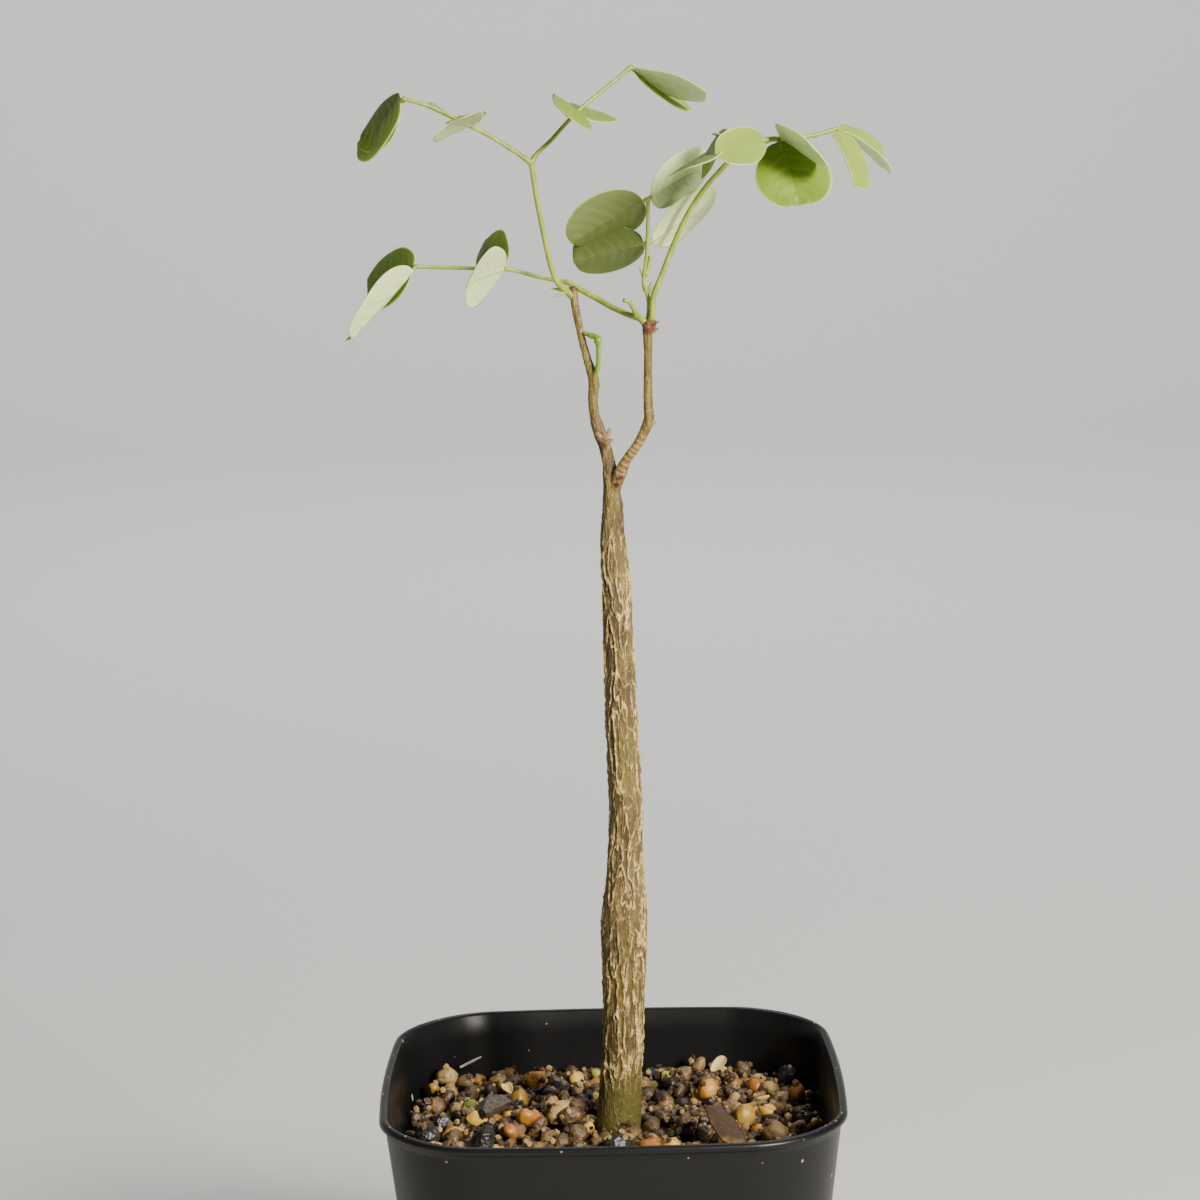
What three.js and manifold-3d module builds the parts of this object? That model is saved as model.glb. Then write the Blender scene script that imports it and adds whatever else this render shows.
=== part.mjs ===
// A young potted Delonix pumila: a woody trunk with a raised corky net, two thin shoots, four
// compound leaves of notched leaflets, loose granular soil and a thin square nursery pot.
// Millimetres, +Z up. The origin is the middle of the pot's base, on the surface it stands on, and
// -Y is the side that the plant is seen from.
import * as THREE from "three";
import { mergeVertices } from "three/addons/utils/BufferGeometryUtils.js";
import Module from "manifold-3d";

const wasm = await Module();
wasm.setup();

// Driving dimensions of the pot
const POT_HEIGHT = 66;
const RIM_HALF = 37.5; // half of the rim's outer width, at the middle of a side
const RIM_BEAD = 0.7; // how far the rim stands out past the wall
const RIM_DEPTH = 1.6; // height of the rim's rolled lip
const WALL = 1.0;
const BASE_HALF = 29;
const BASE_THICK = 2;
const BASE_CHAMFER = 1.5; // inside, between the base and the wall
const CORNER_RADIUS = 15.5; // of the rim; the base's corners are smaller in proportion
const SIDE_BOW = 1.9; // how far the corners lie inside the square that the sides touch
const CORNER_STEPS = 6;
const SIDE_STEPS = 3;
const DRAIN_HOLE_RADIUS = 3.2;
const DRAIN_HOLE_RING = 13; // the eight drainage holes lie on this radius
const DRAIN_HOLES = 8;

// Driving dimensions of the soil and what lies on it
const SOIL_TOP = 57.6;
const CLEARANCE = 0.3; // left between pieces that touch
const GRANULE = 4.7; // spacing of the granules on the surface
const GRANULE_SIZES = [5.0, 7.2]; // across the points, more than half of it sunk
const LARGE_GRANULE = 9.5;
const LARGE_GRANULE_AT = [-6.9, 0.5];
const STEM_HOLE_RADIUS = 4.35;
const STEM_HOLE_FLOOR = 27;
const SEED = 41;

// Driving dimensions of the trunk: [x, y, z, radius] from the root's tip to the fork
const TRUNK = [
  [1.0, 1.5, 28, 0.9],
  [0.9, 1.5, 36, 1.9],
  [0.9, 1.5, 46, 2.9],
  [0.9, 1.5, 56, 3.6],
  [1.2, 1.5, 62, 3.5],
  [1.8, 1.5, 70, 3.25],
  [2.1, 1.5, 78, 3.25],
  [2.3, 1.5, 86, 3.55],
  [2.4, 1.4, 92, 3.65],
  [2.7, 1.4, 97, 3.15],
  [2.8, 1.4, 102, 2.75],
  [3.0, 1.3, 112, 2.65],
  [2.7, 1.2, 121, 2.55],
  [2.5, 1.1, 131, 2.4],
  [2.2, 1.0, 144, 2.3],
  [1.8, 1.0, 152, 2.1],
  [1.7, 1.0, 156, 1.8],
  [1.8, 1.1, 160, 1.6],
  [1.8, 1.1, 163, 1.25],
];
const NET_LINES = 8; // corky ridges round the trunk
const NET_MESH = 13; // length of one mesh of the net
const NET_HEIGHT = 0.38;
const NET_LEAN = 0.36; // how far a ridge leans to its neighbour, as a share of their spacing
const NET_START = 62; // the net fades out towards the soil and the fork
const NET_END = 157;
const NET_FADE = 4;
const TRUNK_STEPS = 78;
const SHOOT_SIDES = 8;
const COLUMNS_PER_LINE = 3;

// The two shoots above the fork, their dead spurs and the bark scar, as [x, y, z, radius]
const LEFT_SHOOT = [
  [1.8, 1.1, 160.5, 1.2],
  [1.6, 1.1, 163.5, 1.25],
  [1.4, 1.2, 165.5, 1.08],
  [0.9, 1.4, 168, 1.02],
  [0.0, 1.6, 170.9, 1.05],
  [-0.7, 1.8, 173.3, 0.86],
  [-1.0, 2.0, 176.1, 0.78],
  [-0.8, 2.1, 179.2, 0.88],
  [-1.7, 2.2, 182.4, 0.68],
  [-2.5, 2.3, 185.6, 0.6],
  [-3.4, 2.5, 190.3, 0.62],
  [-3.7, 2.8, 193.0, 0.68],
];
const RIGHT_SHOOT = [
  [1.9, 1.0, 161.4, 0.9],
  [3.1, -0.3, 164.6, 0.88],
  [4.2, -1.0, 166.9, 0.78],
  [6.2, -1.6, 169.8, 0.74],
  [7.7, -2.0, 173.1, 0.84],
  [7.7, -2.1, 175.5, 0.76],
  [7.7, -2.2, 179.1, 0.68],
  [7.8, -2.4, 183.9, 0.65],
  [7.8, -2.6, 187.0, 0.8],
  [7.9, -2.7, 188.4, 1.05],
];
const SPURS = [
  { from: [1.2, 1.5, 170.0], to: [1.9, 1.6, 172.4], radii: [0.55, 0.3] },
  { from: [0.8, 0.8, 169.4], to: [3.0, 0.2, 170.8], radii: [0.5, 0.3] },
  { from: [7.9, -2.0, 172.6], to: [9.0, -2.2, 173.3], radii: [0.5, 0.35] },
  { from: [0.6, 0.8, 150.1], to: [-0.7, 0.3, 150.4], radii: [0.8, 0.45] },
];

// The leaflets: an obovate blade with a notch at its tip, folded along its midrib
const BLADE_THICK = 0.6;
const BLADE_ROWS = 8;
const NOTCH_WIDTH = 0.42; // in radians of the outline's angle
const STALKLET = 0.9;
const STALKLET_SUNK = 1.2; // how far the stalklet runs on into the blade
const STALKLET_RADII = [0.36, 0.3];
const STALKLET_SIDES = 5;

// Each leaf holds its stalks, as smooth curves of [x, y, z] with radii at the foot and the end, and
// its leaflets. A leaflet springs at `at`. Its lie is the azimuth of its midrib (from +X towards +Y),
// the midrib's elevation and the roll of its upper face from facing up. Fold lifts its halves, arch
// bends its tip down and twist turns the tip against the base. All these are in degrees. Its form is
// how far the widest place lies towards the tip, the notch's depth as a share of the length, the twist,
// and how much wider its left half is than its right.
const LEAVES = {
  leaf_a: {
    stalks: [
      {
        radii: [0.6, 0.42],
        path: [
          [-4.8, 2.4, 193.4],
          [-6.3, 1.0, 195.1],
          [-7.2, 0.2, 197.7],
          [-8.0, -0.5, 201.6],
          [-9.1, -1.5, 207.9],
          [-9.9, -2.0, 214.1],
        ],
      },
      {
        radii: [0.4, 0.33],
        path: [
          [-9.8, -2.0, 213.6],
          [-12.3, -3.0, 215.5],
          [-16.8, -5.0, 218.4],
          [-20.6, -7.0, 220.5],
          [-25.0, -9.0, 222.7],
          [-29.0, -11.0, 224.0],
        ],
      },
      {
        radii: [0.4, 0.33],
        path: [
          [-9.9, -2.0, 213.6],
          [-8.9, -1.5, 215.1],
          [-6.6, 0.0, 217.2],
          [-2.6, 2.0, 221.3],
          [3.5, 5.5, 226.1],
          [6.0, 7.0, 228.1],
        ],
      },
    ],
    leaflets: [
      {
        at: [-18.7, -6.0, 219.6],
        lie: [-109, 8, 31],
        fold: -11,
        arch: 14,
        size: [12.9, 8.3],
        form: [0.25, 0.14, 3, -0.07],
      },
      {
        at: [-18.7, -6.0, 219.6],
        lie: [106, 6, 4],
        fold: 26,
        arch: 2,
        size: [12.7, 10.2],
        form: [0.27, 0.08, 20, -0.1],
      },
      {
        at: [-28.9, -11.0, 224.0],
        lie: [127, -30, -59],
        fold: -12,
        arch: -5,
        size: [13.9, 9.8],
        form: [0.27, 0.05, 19, 0],
      },
      {
        at: [-28.8, -10.6, 223.9],
        lie: [130, -28, -65],
        fold: -8,
        arch: -5,
        size: [12.1, 9.0],
        form: [0.12, 0.06, 19, 0],
      },
      {
        at: [-2.8, 2.0, 221.2],
        lie: [-88, 8, -43],
        fold: 0,
        arch: 26,
        size: [14.0, 8.0],
        form: [0.05, 0.05, -5, 0.01],
      },
      {
        at: [-2.8, 2.0, 221.2],
        lie: [72, -3, 23],
        fold: 3,
        arch: -5,
        size: [12.3, 8.3],
        form: [0.13, 0.07, -17, 0.05],
      },
      {
        at: [5.9, 7.0, 228.1],
        lie: [-6, -20, -20],
        fold: -5,
        arch: 1,
        size: [12.8, 9.9],
        form: [0.39, 0.07, 7, 0.05],
      },
      {
        at: [5.9, 7.0, 228.1],
        lie: [52, -25, 36],
        fold: -1,
        arch: -7,
        size: [14.3, 10.6],
        form: [0.26, 0.06, -20, 0.1],
      },
    ],
  },
  leaf_b: {
    stalks: [
      {
        radii: [0.62, 0.48],
        path: [
          [6.7, -2.6, 189.2],
          [5.1, -1.5, 189.7],
          [2.3, 1.5, 190.8],
          [-0.1, 3.6, 192.1],
          [-2.7, 4.6, 193.5],
          [-4.9, 5.2, 194.8],
        ],
      },
      {
        radii: [0.36, 0.32],
        path: [
          [-4.2, 5.0, 194.5],
          [-9.0, 5.2, 195.5],
          [-14.5, 4.5, 197.0],
          [-20.0, 4.2, 197.2],
          [-28.6, 3.0, 197.7],
        ],
      },
      {
        radii: [0.42, 0.36],
        path: [
          [6.2, -2.2, 189.4],
          [5.7, -3.2, 190.7],
          [4.9, -3.8, 192.0],
          [4.1, -4.2, 192.2],
        ],
      },
    ],
    leaflets: [
      {
        at: [-14.5, 4.5, 197.0],
        lie: [-117, -5, 66],
        fold: -5,
        arch: 7,
        size: [13.2, 10.1],
        form: [0.2, 0.05, 3, -0.06],
      },
      {
        at: [-14.5, 4.5, 197.0],
        lie: [111, 20, -57],
        fold: -5,
        arch: 14,
        size: [13.5, 7.4],
        form: [0.16, 0.09, -3, 0.01],
      },
      {
        at: [-28.5, 3.0, 197.7],
        lie: [-143, -41, 44],
        fold: 22,
        arch: -2,
        size: [16.8, 10.0],
        form: [0.03, 0.08, -14, 0.02],
      },
      {
        at: [-28.5, 3.0, 197.7],
        lie: [127, -10, -63],
        fold: -9,
        arch: 1,
        size: [13.9, 10.9],
        form: [0.18, 0.03, -2, -0.07],
      },
    ],
  },
  leaf_c: {
    stalks: [
      {
        radii: [0.42, 0.3],
        path: [
          [8.0, -1.9, 189.8],
          [8.0, -2.6, 192.0],
          [7.6, -3.4, 193.9],
          [7.3, -4.0, 195.2],
          [7.9, -4.0, 199.9],
          [8.1, -4.0, 204.5],
          [8.2, -4.0, 208.1],
        ],
      },
      {
        radii: [0.34, 0.3],
        path: [
          [7.5, -3.9, 196.0],
          [8.0, -4.1, 197.3],
          [8.4, -4.2, 199.0],
        ],
      },
    ],
    leaflets: [
      {
        at: [8.0, -4.0, 201.0],
        lie: [148, -11, 76],
        fold: 43,
        arch: 16,
        size: [13.1, 10.0],
        form: [0.21, 0.06, 1, 0.02],
      },
      {
        at: [8.0, -4.0, 201.0],
        lie: [36, 27, -54],
        fold: 11,
        arch: 7,
        size: [14.5, 10.0],
        form: [0.24, 0.09, 17, 0.07],
      },
      {
        at: [8.2, -4.0, 207.8],
        lie: [158, -24, 45],
        fold: 14,
        arch: 12,
        size: [13.9, 10.1],
        form: [0.05, 0.03, -39, -0.03],
      },
      {
        at: [8.2, -4.0, 207.8],
        lie: [53, 23, -68],
        fold: 10,
        arch: 23,
        size: [13.8, 10.0],
        form: [0.19, 0.06, 13, -0.01],
      },
    ],
  },
  leaf_d: {
    stalks: [
      {
        radii: [0.62, 0.42],
        path: [
          [8.6, -3.5, 189.7],
          [8.6, -3.6, 191.6],
          [9.0, -3.9, 193.5],
          [10.0, -4.2, 195.7],
          [13.0, -4.8, 202.9],
          [16.2, -5.0, 208.3],
          [20.6, -5.0, 213.2],
          [24.0, -5.0, 215.5],
          [26.8, -5.0, 216.6],
        ],
      },
      {
        radii: [0.4, 0.33],
        path: [
          [26.4, -5.0, 216.5],
          [28.4, -4.0, 216.7],
          [33.2, -2.0, 216.9],
          [38.1, 0.0, 218.0],
        ],
      },
      {
        radii: [0.4, 0.33],
        path: [
          [26.6, -4.6, 216.5],
          [26.2, -12.0, 216.7],
          [24.6, -13.0, 216.7],
          [22.6, -13.4, 216.9],
          [20.3, -13.2, 216.9],
        ],
      },
    ],
    leaflets: [
      {
        at: [26.2, -12.0, 216.7],
        lie: [-130, -8, -73],
        fold: 45,
        arch: 3,
        size: [12.7, 8.3],
        form: [0.25, 0.08, 11, 0.06],
      },
      {
        at: [26.2, -12.0, 216.7],
        lie: [118, 6, 34],
        fold: -29,
        arch: 12,
        size: [11, 8],
        form: [0.3, 0.08, 12, 0.02],
      },
      {
        at: [28.4, -4.0, 216.8],
        lie: [-71, -47, 16],
        fold: 16,
        arch: 17,
        size: [12.9, 11.9],
        form: [0.22, 0.09, -16, -0.03],
      },
      {
        at: [28.8, -3.8, 216.9],
        lie: [-70, -6, -43],
        fold: -1,
        arch: 1,
        size: [13.4, 9.7],
        form: [0.22, 0.08, 1, 0],
      },
      {
        at: [38.0, 0.0, 218.0],
        lie: [-77, -42, -38],
        fold: 21,
        arch: 3,
        size: [12.7, 7.6],
        form: [0.06, 0.08, -32, -0.03],
      },
      {
        at: [38.0, 0.0, 218.0],
        lie: [44, -27, 36],
        fold: 25,
        arch: 7,
        size: [12.7, 9.5],
        form: [0.17, 0.09, 28, -0.01],
      },
      {
        at: [20.3, -13.2, 216.9],
        lie: [-132, -21, 18],
        fold: -5,
        arch: -1,
        size: [12.5, 8.6],
        form: [0.3, 0.06, 0, 0],
      },
      {
        at: [20.3, -13.2, 216.9],
        lie: [110, -12, -62],
        fold: -4,
        arch: 13,
        size: [13, 8],
        form: [0.25, 0.05, -18, 0.01],
      },
    ],
  },
};
const HOOKED_SHOOT = {
  radii: [0.5, 0.36],
  path: [
    [-0.2, 0.9, 181.0],
    [0.1, 0.4, 182.2],
    [-0.1, 0.2, 184.2],
    [-0.3, 0.3, 185.8],
    [-1.1, 0.8, 186.3],
    [-1.6, 1.1, 186.0],
  ],
};

// Debris lying on the soil: a flake of dead leaf and a dark chip of charcoal
const FLAKE = { at: [17.8, -12.5, 60.9], size: [4.6, 8.4, 0.8], turn: [35, 0, 34] };
const CHIP = { at: [-19.8, 3.0, 60.1], size: [5.0, 3.2, 1.4], turn: [28, -12, 34] };

const MATERIALS = {
  black_plastic: [0x0b0b0c, 0.42],
  granules: [0x8a6a42, 0.95],
  bark: [0x9a8462, 0.85],
  leaf_green: [0x7fa545, 0.55],
  shoot_green: [0x9bb25c, 0.5],
  dead_leaf: [0x4a2f1a, 0.8],
  charcoal: [0x1a1512, 0.9],
};

function makeRandom(seed) {
  let state = seed;
  return () => {
    state = (state * 1664525 + 1013904223) % 4294967296;
    return state / 4294967296;
  };
}

function vector(p) {
  return new THREE.Vector3(p[0], p[1], p[2]);
}

// A closed mesh from points and triangles, as a solid
function solidFrom(points, faces) {
  const geometry = new THREE.BufferGeometry();
  geometry.setAttribute("position", new THREE.Float32BufferAttribute(points.flat(), 3));
  geometry.setIndex(faces.flat());
  return solidOf(geometry);
}

function solidOf(geometry) {
  const bare = new THREE.BufferGeometry();
  bare.setAttribute("position", geometry.getAttribute("position"));
  bare.setIndex(geometry.getIndex());
  const merged = mergeVertices(bare, 1e-4);
  return new wasm.Manifold(
    new wasm.Mesh({
      numProp: 3,
      vertProperties: merged.attributes.position.array,
      triVerts: new Uint32Array(merged.index.array),
    }),
  );
}

function meshOf(name, solid, finish) {
  const cut = solid.getMesh();
  const geometry = new THREE.BufferGeometry();
  geometry.setAttribute("position", new THREE.BufferAttribute(cut.vertProperties, 3));
  geometry.setIndex(new THREE.BufferAttribute(cut.triVerts, 1));
  geometry.computeVertexNormals();
  const [color, roughness] = MATERIALS[finish];
  const mesh = new THREE.Mesh(
    geometry,
    new THREE.MeshStandardMaterial({ color, roughness, metalness: 0, flatShading: true }),
  );
  mesh.name = name;
  return mesh;
}

function joinAll(solids) {
  return solids.reduce((whole, solid) => whole.add(solid));
}

// Joins rings of equal length into a closed skin, with a fan over each end
function skin(rings, lowEnd, highEnd) {
  const count = rings[0].length;
  const points = rings.flat();
  const faces = [];
  for (let k = 0; k + 1 < rings.length; k++)
    for (let i = 0; i < count; i++) {
      const a = k * count + i;
      const b = k * count + ((i + 1) % count);
      faces.push([a, b, b + count], [a, b + count, a + count]);
    }
  const last = (rings.length - 1) * count;
  const low = points.push(lowEnd) - 1;
  const high = points.push(highEnd) - 1;
  for (let i = 0; i < count; i++) {
    const next = (i + 1) % count;
    faces.push([low, next, i], [high, last + i, last + next]);
  }
  return solidFrom(points, faces);
}

// A round body swept along a smooth curve through [x, y, z, radius] stations. The surface function
// gives each column's turn, in columns, and its lift off the radius.
function sweep(stations, sides, steps, surface = () => [0, 0]) {
  const path = new THREE.CatmullRomCurve3(stations.map(vector), false, "catmullrom", 0.5);
  const girth = new THREE.CatmullRomCurve3(
    stations.map((s) => new THREE.Vector3(s[3], 0, 0)),
    false,
    "catmullrom",
    0.5,
  );
  const rings = [];
  const across = new THREE.Vector3(1, 0, 0);
  for (let k = 0; k <= steps; k++) {
    const centre = path.getPoint(k / steps);
    const along = path.getTangent(k / steps);
    const radius = girth.getPoint(k / steps).x;
    across.addScaledVector(along, -across.dot(along)).normalize();
    const up = new THREE.Vector3().crossVectors(along, across);
    const ring = [];
    for (let i = 0; i < sides; i++) {
      const [turn, lift] = surface(i, centre.z);
      const angle = (2 * Math.PI * (i + turn)) / sides;
      const point = centre
        .clone()
        .addScaledVector(across, (radius + lift) * Math.cos(angle))
        .addScaledVector(up, (radius + lift) * Math.sin(angle));
      ring.push(point.toArray());
    }
    rings.push(ring);
  }
  return skin(rings, path.getPoint(0).toArray(), path.getPoint(1).toArray());
}

// A stalk, thicker at its foot, through the points of its path
function stalk({ path, radii }, sides = 6, stepsPerSpan = 2) {
  const last = path.length - 1;
  const radius = (i) => THREE.MathUtils.lerp(radii[0], radii[1], Math.sqrt(i / last));
  const stations = path.map((p, i) => [...p, radius(i)]);
  return sweep(stations, sides, last * stepsPerSpan);
}

// One leaflet blade. Rows run from the midrib to the edge; both faces are split alike.
function blade({ at, lie, fold, size, arch, form }) {
  const [length, width] = size;
  const [obovate, notchDepth, twist, oblique] = form;
  const [a, e, r, f, bend, wring] = [...lie, fold, arch, twist].map(THREE.MathUtils.degToRad);
  const along = new THREE.Vector3(Math.cos(e) * Math.cos(a), Math.cos(e) * Math.sin(a), Math.sin(e));
  const flat = new THREE.Vector3(-Math.sin(a), Math.cos(a), 0);
  const over = new THREE.Vector3().crossVectors(along, flat);
  const side = flat.clone().multiplyScalar(Math.cos(r)).addScaledVector(over, Math.sin(r));
  const face = over.clone().multiplyScalar(Math.cos(r)).addScaledVector(flat, -Math.sin(r));
  const start = vector(at).addScaledVector(along, STALKLET);
  const curl = bend / length;
  const place = (x, beside, above) => {
    const turn = wring * (x / length - 0.5);
    const y = beside * Math.cos(turn) - above * Math.sin(turn);
    const z = beside * Math.sin(turn) + above * Math.cos(turn);
    return start
      .clone()
      .addScaledVector(along, Math.sin(curl * x) / curl + z * Math.sin(curl * x))
      .addScaledVector(face, (Math.cos(curl * x) - 1) / curl + z * Math.cos(curl * x))
      .addScaledVector(side, y)
      .toArray();
  };
  const half = BLADE_THICK / 2;
  const points = [];
  const rows = [];
  for (let k = 0; k <= BLADE_ROWS; k++) {
    const angle = (Math.PI * k) / BLADE_ROWS;
    const reach = (1 - Math.cos(angle)) / 2;
    const notch = notchDepth * Math.exp(-(((Math.PI - angle) / NOTCH_WIDTH) ** 2));
    const edge = length * (reach - notch);
    const mid = length * (1 - notchDepth) * reach;
    const halfWidth = (width / 2) * Math.sin(angle) * (1 - obovate * Math.cos(angle));
    const row = {};
    row.upper = points.push(place(mid, 0, half / Math.cos(f))) - 1;
    row.under = points.push(place(mid, 0, -half)) - 1;
    for (const s of [-1, 1]) {
      if (k === 0 || k === BLADE_ROWS) {
        row[s] = [row.upper, row.under];
        continue;
      }
      const out = halfWidth * (1 + s * oblique);
      const y = s * out * Math.cos(f);
      const z = out * Math.sin(f);
      const outward = [-s * half * Math.sin(f), half * Math.cos(f)];
      row[s] = [
        points.push(place(edge, y + outward[0], z + outward[1])) - 1,
        points.push(place(edge, y - outward[0], z - outward[1])) - 1,
      ];
    }
    rows.push(row);
  }
  const faces = [];
  const quad = (a, b, c, d) => {
    if (a !== b && b !== c && a !== c) faces.push([a, b, c]);
    if (a !== c && c !== d && a !== d) faces.push([a, c, d]);
  };
  for (let k = 0; k < BLADE_ROWS; k++) {
    const [p, q] = [rows[k], rows[k + 1]];
    quad(p.upper, q.upper, q[1][0], p[1][0]);
    quad(p[-1][0], q[-1][0], q.upper, p.upper);
    quad(p[1][1], q[1][1], q.under, p.under);
    quad(p.under, q.under, q[-1][1], p[-1][1]);
    quad(p[1][0], q[1][0], q[1][1], p[1][1]);
    quad(p[-1][1], q[-1][1], q[-1][0], p[-1][0]);
  }
  const sunk = start.clone().addScaledVector(along, STALKLET_SUNK);
  const path = [at, start.toArray(), sunk.toArray()];
  const stalklet = stalk({ path, radii: STALKLET_RADII }, STALKLET_SIDES, 1);
  return solidFrom(points, faces).add(stalklet);
}

function leaf({ stalks, leaflets }) {
  return joinAll([...stalks.map((s) => stalk(s)), ...leaflets.map(blade)]);
}

// The outline of the pot at one level: a square with round corners and gently bowed sides
function squareRing(half, z) {
  const scale = half / RIM_HALF;
  const corner = CORNER_RADIUS * scale;
  const bow = SIDE_BOW / RIM_HALF / half / half;
  const ring = [];
  for (let q = 0; q < 4; q++) {
    const turn = (q * Math.PI) / 2;
    const flat = [];
    for (let i = 0; i < SIDE_STEPS; i++) {
      const t = -1 + (2 * i) / SIDE_STEPS;
      flat.push([half, t * (half - corner)]);
    }
    for (let i = 0; i < CORNER_STEPS; i++) {
      const angle = (i / CORNER_STEPS) * (Math.PI / 2);
      flat.push([half - corner + corner * Math.cos(angle), half - corner + corner * Math.sin(angle)]);
    }
    for (const [x0, y0] of flat) {
      const x = x0 * (1 - bow * y0 * y0);
      const y = y0 * (1 - bow * x0 * x0);
      const [c, s] = [Math.cos(turn), Math.sin(turn)];
      ring.push([x * c - y * s, x * s + y * c, z]);
    }
  }
  return ring;
}

// Half width of the pot's outer wall at a height
function wallHalf(z) {
  return THREE.MathUtils.lerp(BASE_HALF, RIM_HALF - RIM_BEAD, z / POT_HEIGHT);
}

function upright(radius, low, high, x, y, sides) {
  const geometry = new THREE.CylinderGeometry(radius, radius, high - low, sides);
  geometry.rotateX(Math.PI / 2).translate(x, y, (low + high) / 2);
  return solidOf(geometry);
}

function makePot() {
  const rimLow = POT_HEIGHT - RIM_DEPTH;
  const shell = skin(
    [
      squareRing(BASE_HALF - 1, 0),
      squareRing(wallHalf(1), 1),
      squareRing(wallHalf(rimLow), rimLow),
      squareRing(RIM_HALF - 0.3, rimLow + 0.2),
      squareRing(RIM_HALF, POT_HEIGHT - 0.6),
      squareRing(RIM_HALF - 0.5, POT_HEIGHT),
      squareRing(RIM_HALF - RIM_BEAD - WALL + 0.3, POT_HEIGHT),
      squareRing(wallHalf(POT_HEIGHT) - WALL, POT_HEIGHT - 0.5),
      squareRing(wallHalf(BASE_THICK + BASE_CHAMFER) - WALL, BASE_THICK + BASE_CHAMFER),
      squareRing(wallHalf(BASE_THICK) - WALL - BASE_CHAMFER, BASE_THICK),
    ],
    [0, 0, 0],
    [0, 0, BASE_THICK],
  );
  let pot = shell;
  for (let i = 0; i < DRAIN_HOLES; i++) {
    const angle = (2 * Math.PI * (i + 0.5)) / DRAIN_HOLES;
    const x = DRAIN_HOLE_RING * Math.cos(angle);
    const y = DRAIN_HOLE_RING * Math.sin(angle);
    pot = pot.subtract(upright(DRAIN_HOLE_RADIUS, -1, BASE_THICK + 1, x, y, 12));
  }
  return pot;
}

// One angular granule: a jittered octahedron, squashed a little
function granule(random, x, y, z, size) {
  const geometry = new THREE.OctahedronGeometry(0.5);
  const bare = mergeVertices(geometry.deleteAttribute("normal").deleteAttribute("uv"));
  const position = bare.getAttribute("position");
  for (let i = 0; i < position.count; i++) {
    const grow = 0.74 + 0.2 * random();
    position.setXYZ(i, position.getX(i) * grow, position.getY(i) * grow, position.getZ(i) * grow);
  }
  bare.scale(size, size * (0.8 + 0.2 * random()), size * (0.75 + 0.2 * random()));
  bare.rotateX(random() * Math.PI).rotateY(random() * Math.PI).rotateZ(random() * Math.PI);
  bare.translate(x, y, z);
  return solidOf(bare);
}

function debrisBox({ at, size, turn }, margin = 0) {
  const geometry = new THREE.BoxGeometry(size[0] + margin, size[1] + margin, size[2] + margin);
  const [x, y, z] = turn.map(THREE.MathUtils.degToRad);
  geometry.rotateX(x).rotateY(y).rotateZ(z).translate(...at);
  return solidOf(mergeVertices(geometry.deleteAttribute("normal").deleteAttribute("uv")));
}

function makeSoil() {
  const inner = (z) => wallHalf(z) - WALL - CLEARANCE;
  const low = BASE_THICK + CLEARANCE;
  const bed = skin(
    [
      squareRing(inner(low) - BASE_CHAMFER, low),
      squareRing(inner(low + BASE_CHAMFER), low + BASE_CHAMFER),
      squareRing(inner(SOIL_TOP), SOIL_TOP),
    ],
    [0, 0, low],
    [0, 0, SOIL_TOP],
  );
  const random = makeRandom(SEED);
  const count = Math.floor((2 * inner(SOIL_TOP)) / GRANULE);
  const grains = [granule(random, ...LARGE_GRANULE_AT, SOIL_TOP + 1.2, LARGE_GRANULE)];
  for (let i = 0; i < count; i++)
    for (let j = 0; j < count; j++) {
      const x = (i - (count - 1) / 2 + 0.5 * (random() - 0.5)) * GRANULE;
      const y = (j - (count - 1) / 2 + 0.5 * (random() - 0.5)) * GRANULE;
      const size = THREE.MathUtils.lerp(...GRANULE_SIZES, random());
      grains.push(granule(random, x, y, SOIL_TOP - 0.1 + 0.9 * random(), size));
    }
  const room = skin(
    [squareRing(inner(SOIL_TOP - 4), SOIL_TOP - 4), squareRing(inner(SOIL_TOP + 7), SOIL_TOP + 7)],
    [0, 0, SOIL_TOP - 4],
    [0, 0, SOIL_TOP + 7],
  );
  const stem = upright(STEM_HOLE_RADIUS, STEM_HOLE_FLOOR, SOIL_TOP + 9, TRUNK[3][0], TRUNK[3][1], 24);
  const bodies = bed
    .add(joinAll(grains).intersect(room))
    .subtract(stem)
    .subtract(debrisBox(FLAKE, 2 * CLEARANCE))
    .subtract(debrisBox(CHIP, 2 * CLEARANCE))
    .decompose();
  return bodies.reduce((largest, body) => (body.volume() > largest.volume() ? body : largest));
}

// The corky net: ridge lines that lean towards each neighbour by turns, so that the meshes between
// them are long lenses, and low bark between the ridges
function barkNet(column, z) {
  const wander = (k) => 0.5 * Math.sin(0.31 * z + 2 * k);
  const lean = (k) => NET_LEAN * Math.sin((2 * Math.PI * z) / NET_MESH + Math.PI * k + wander(k));
  const before = Math.floor(column / COLUMNS_PER_LINE);
  const after = Math.ceil(column / COLUMNS_PER_LINE);
  const turn = THREE.MathUtils.lerp(lean(before), lean(after), column / COLUMNS_PER_LINE - before);
  const rise = THREE.MathUtils.smoothstep(z, NET_START - NET_FADE, NET_START + NET_FADE);
  const fall = THREE.MathUtils.smoothstep(z, NET_END - NET_FADE, NET_END + NET_FADE);
  const fade = rise * (1 - fall);
  const crest = NET_HEIGHT * (0.8 + 0.2 * Math.sin(0.9 * z + 3 * before));
  const lift = column % COLUMNS_PER_LINE === 0 ? crest : 0;
  return [turn * COLUMNS_PER_LINE * fade, lift * fade];
}

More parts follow.
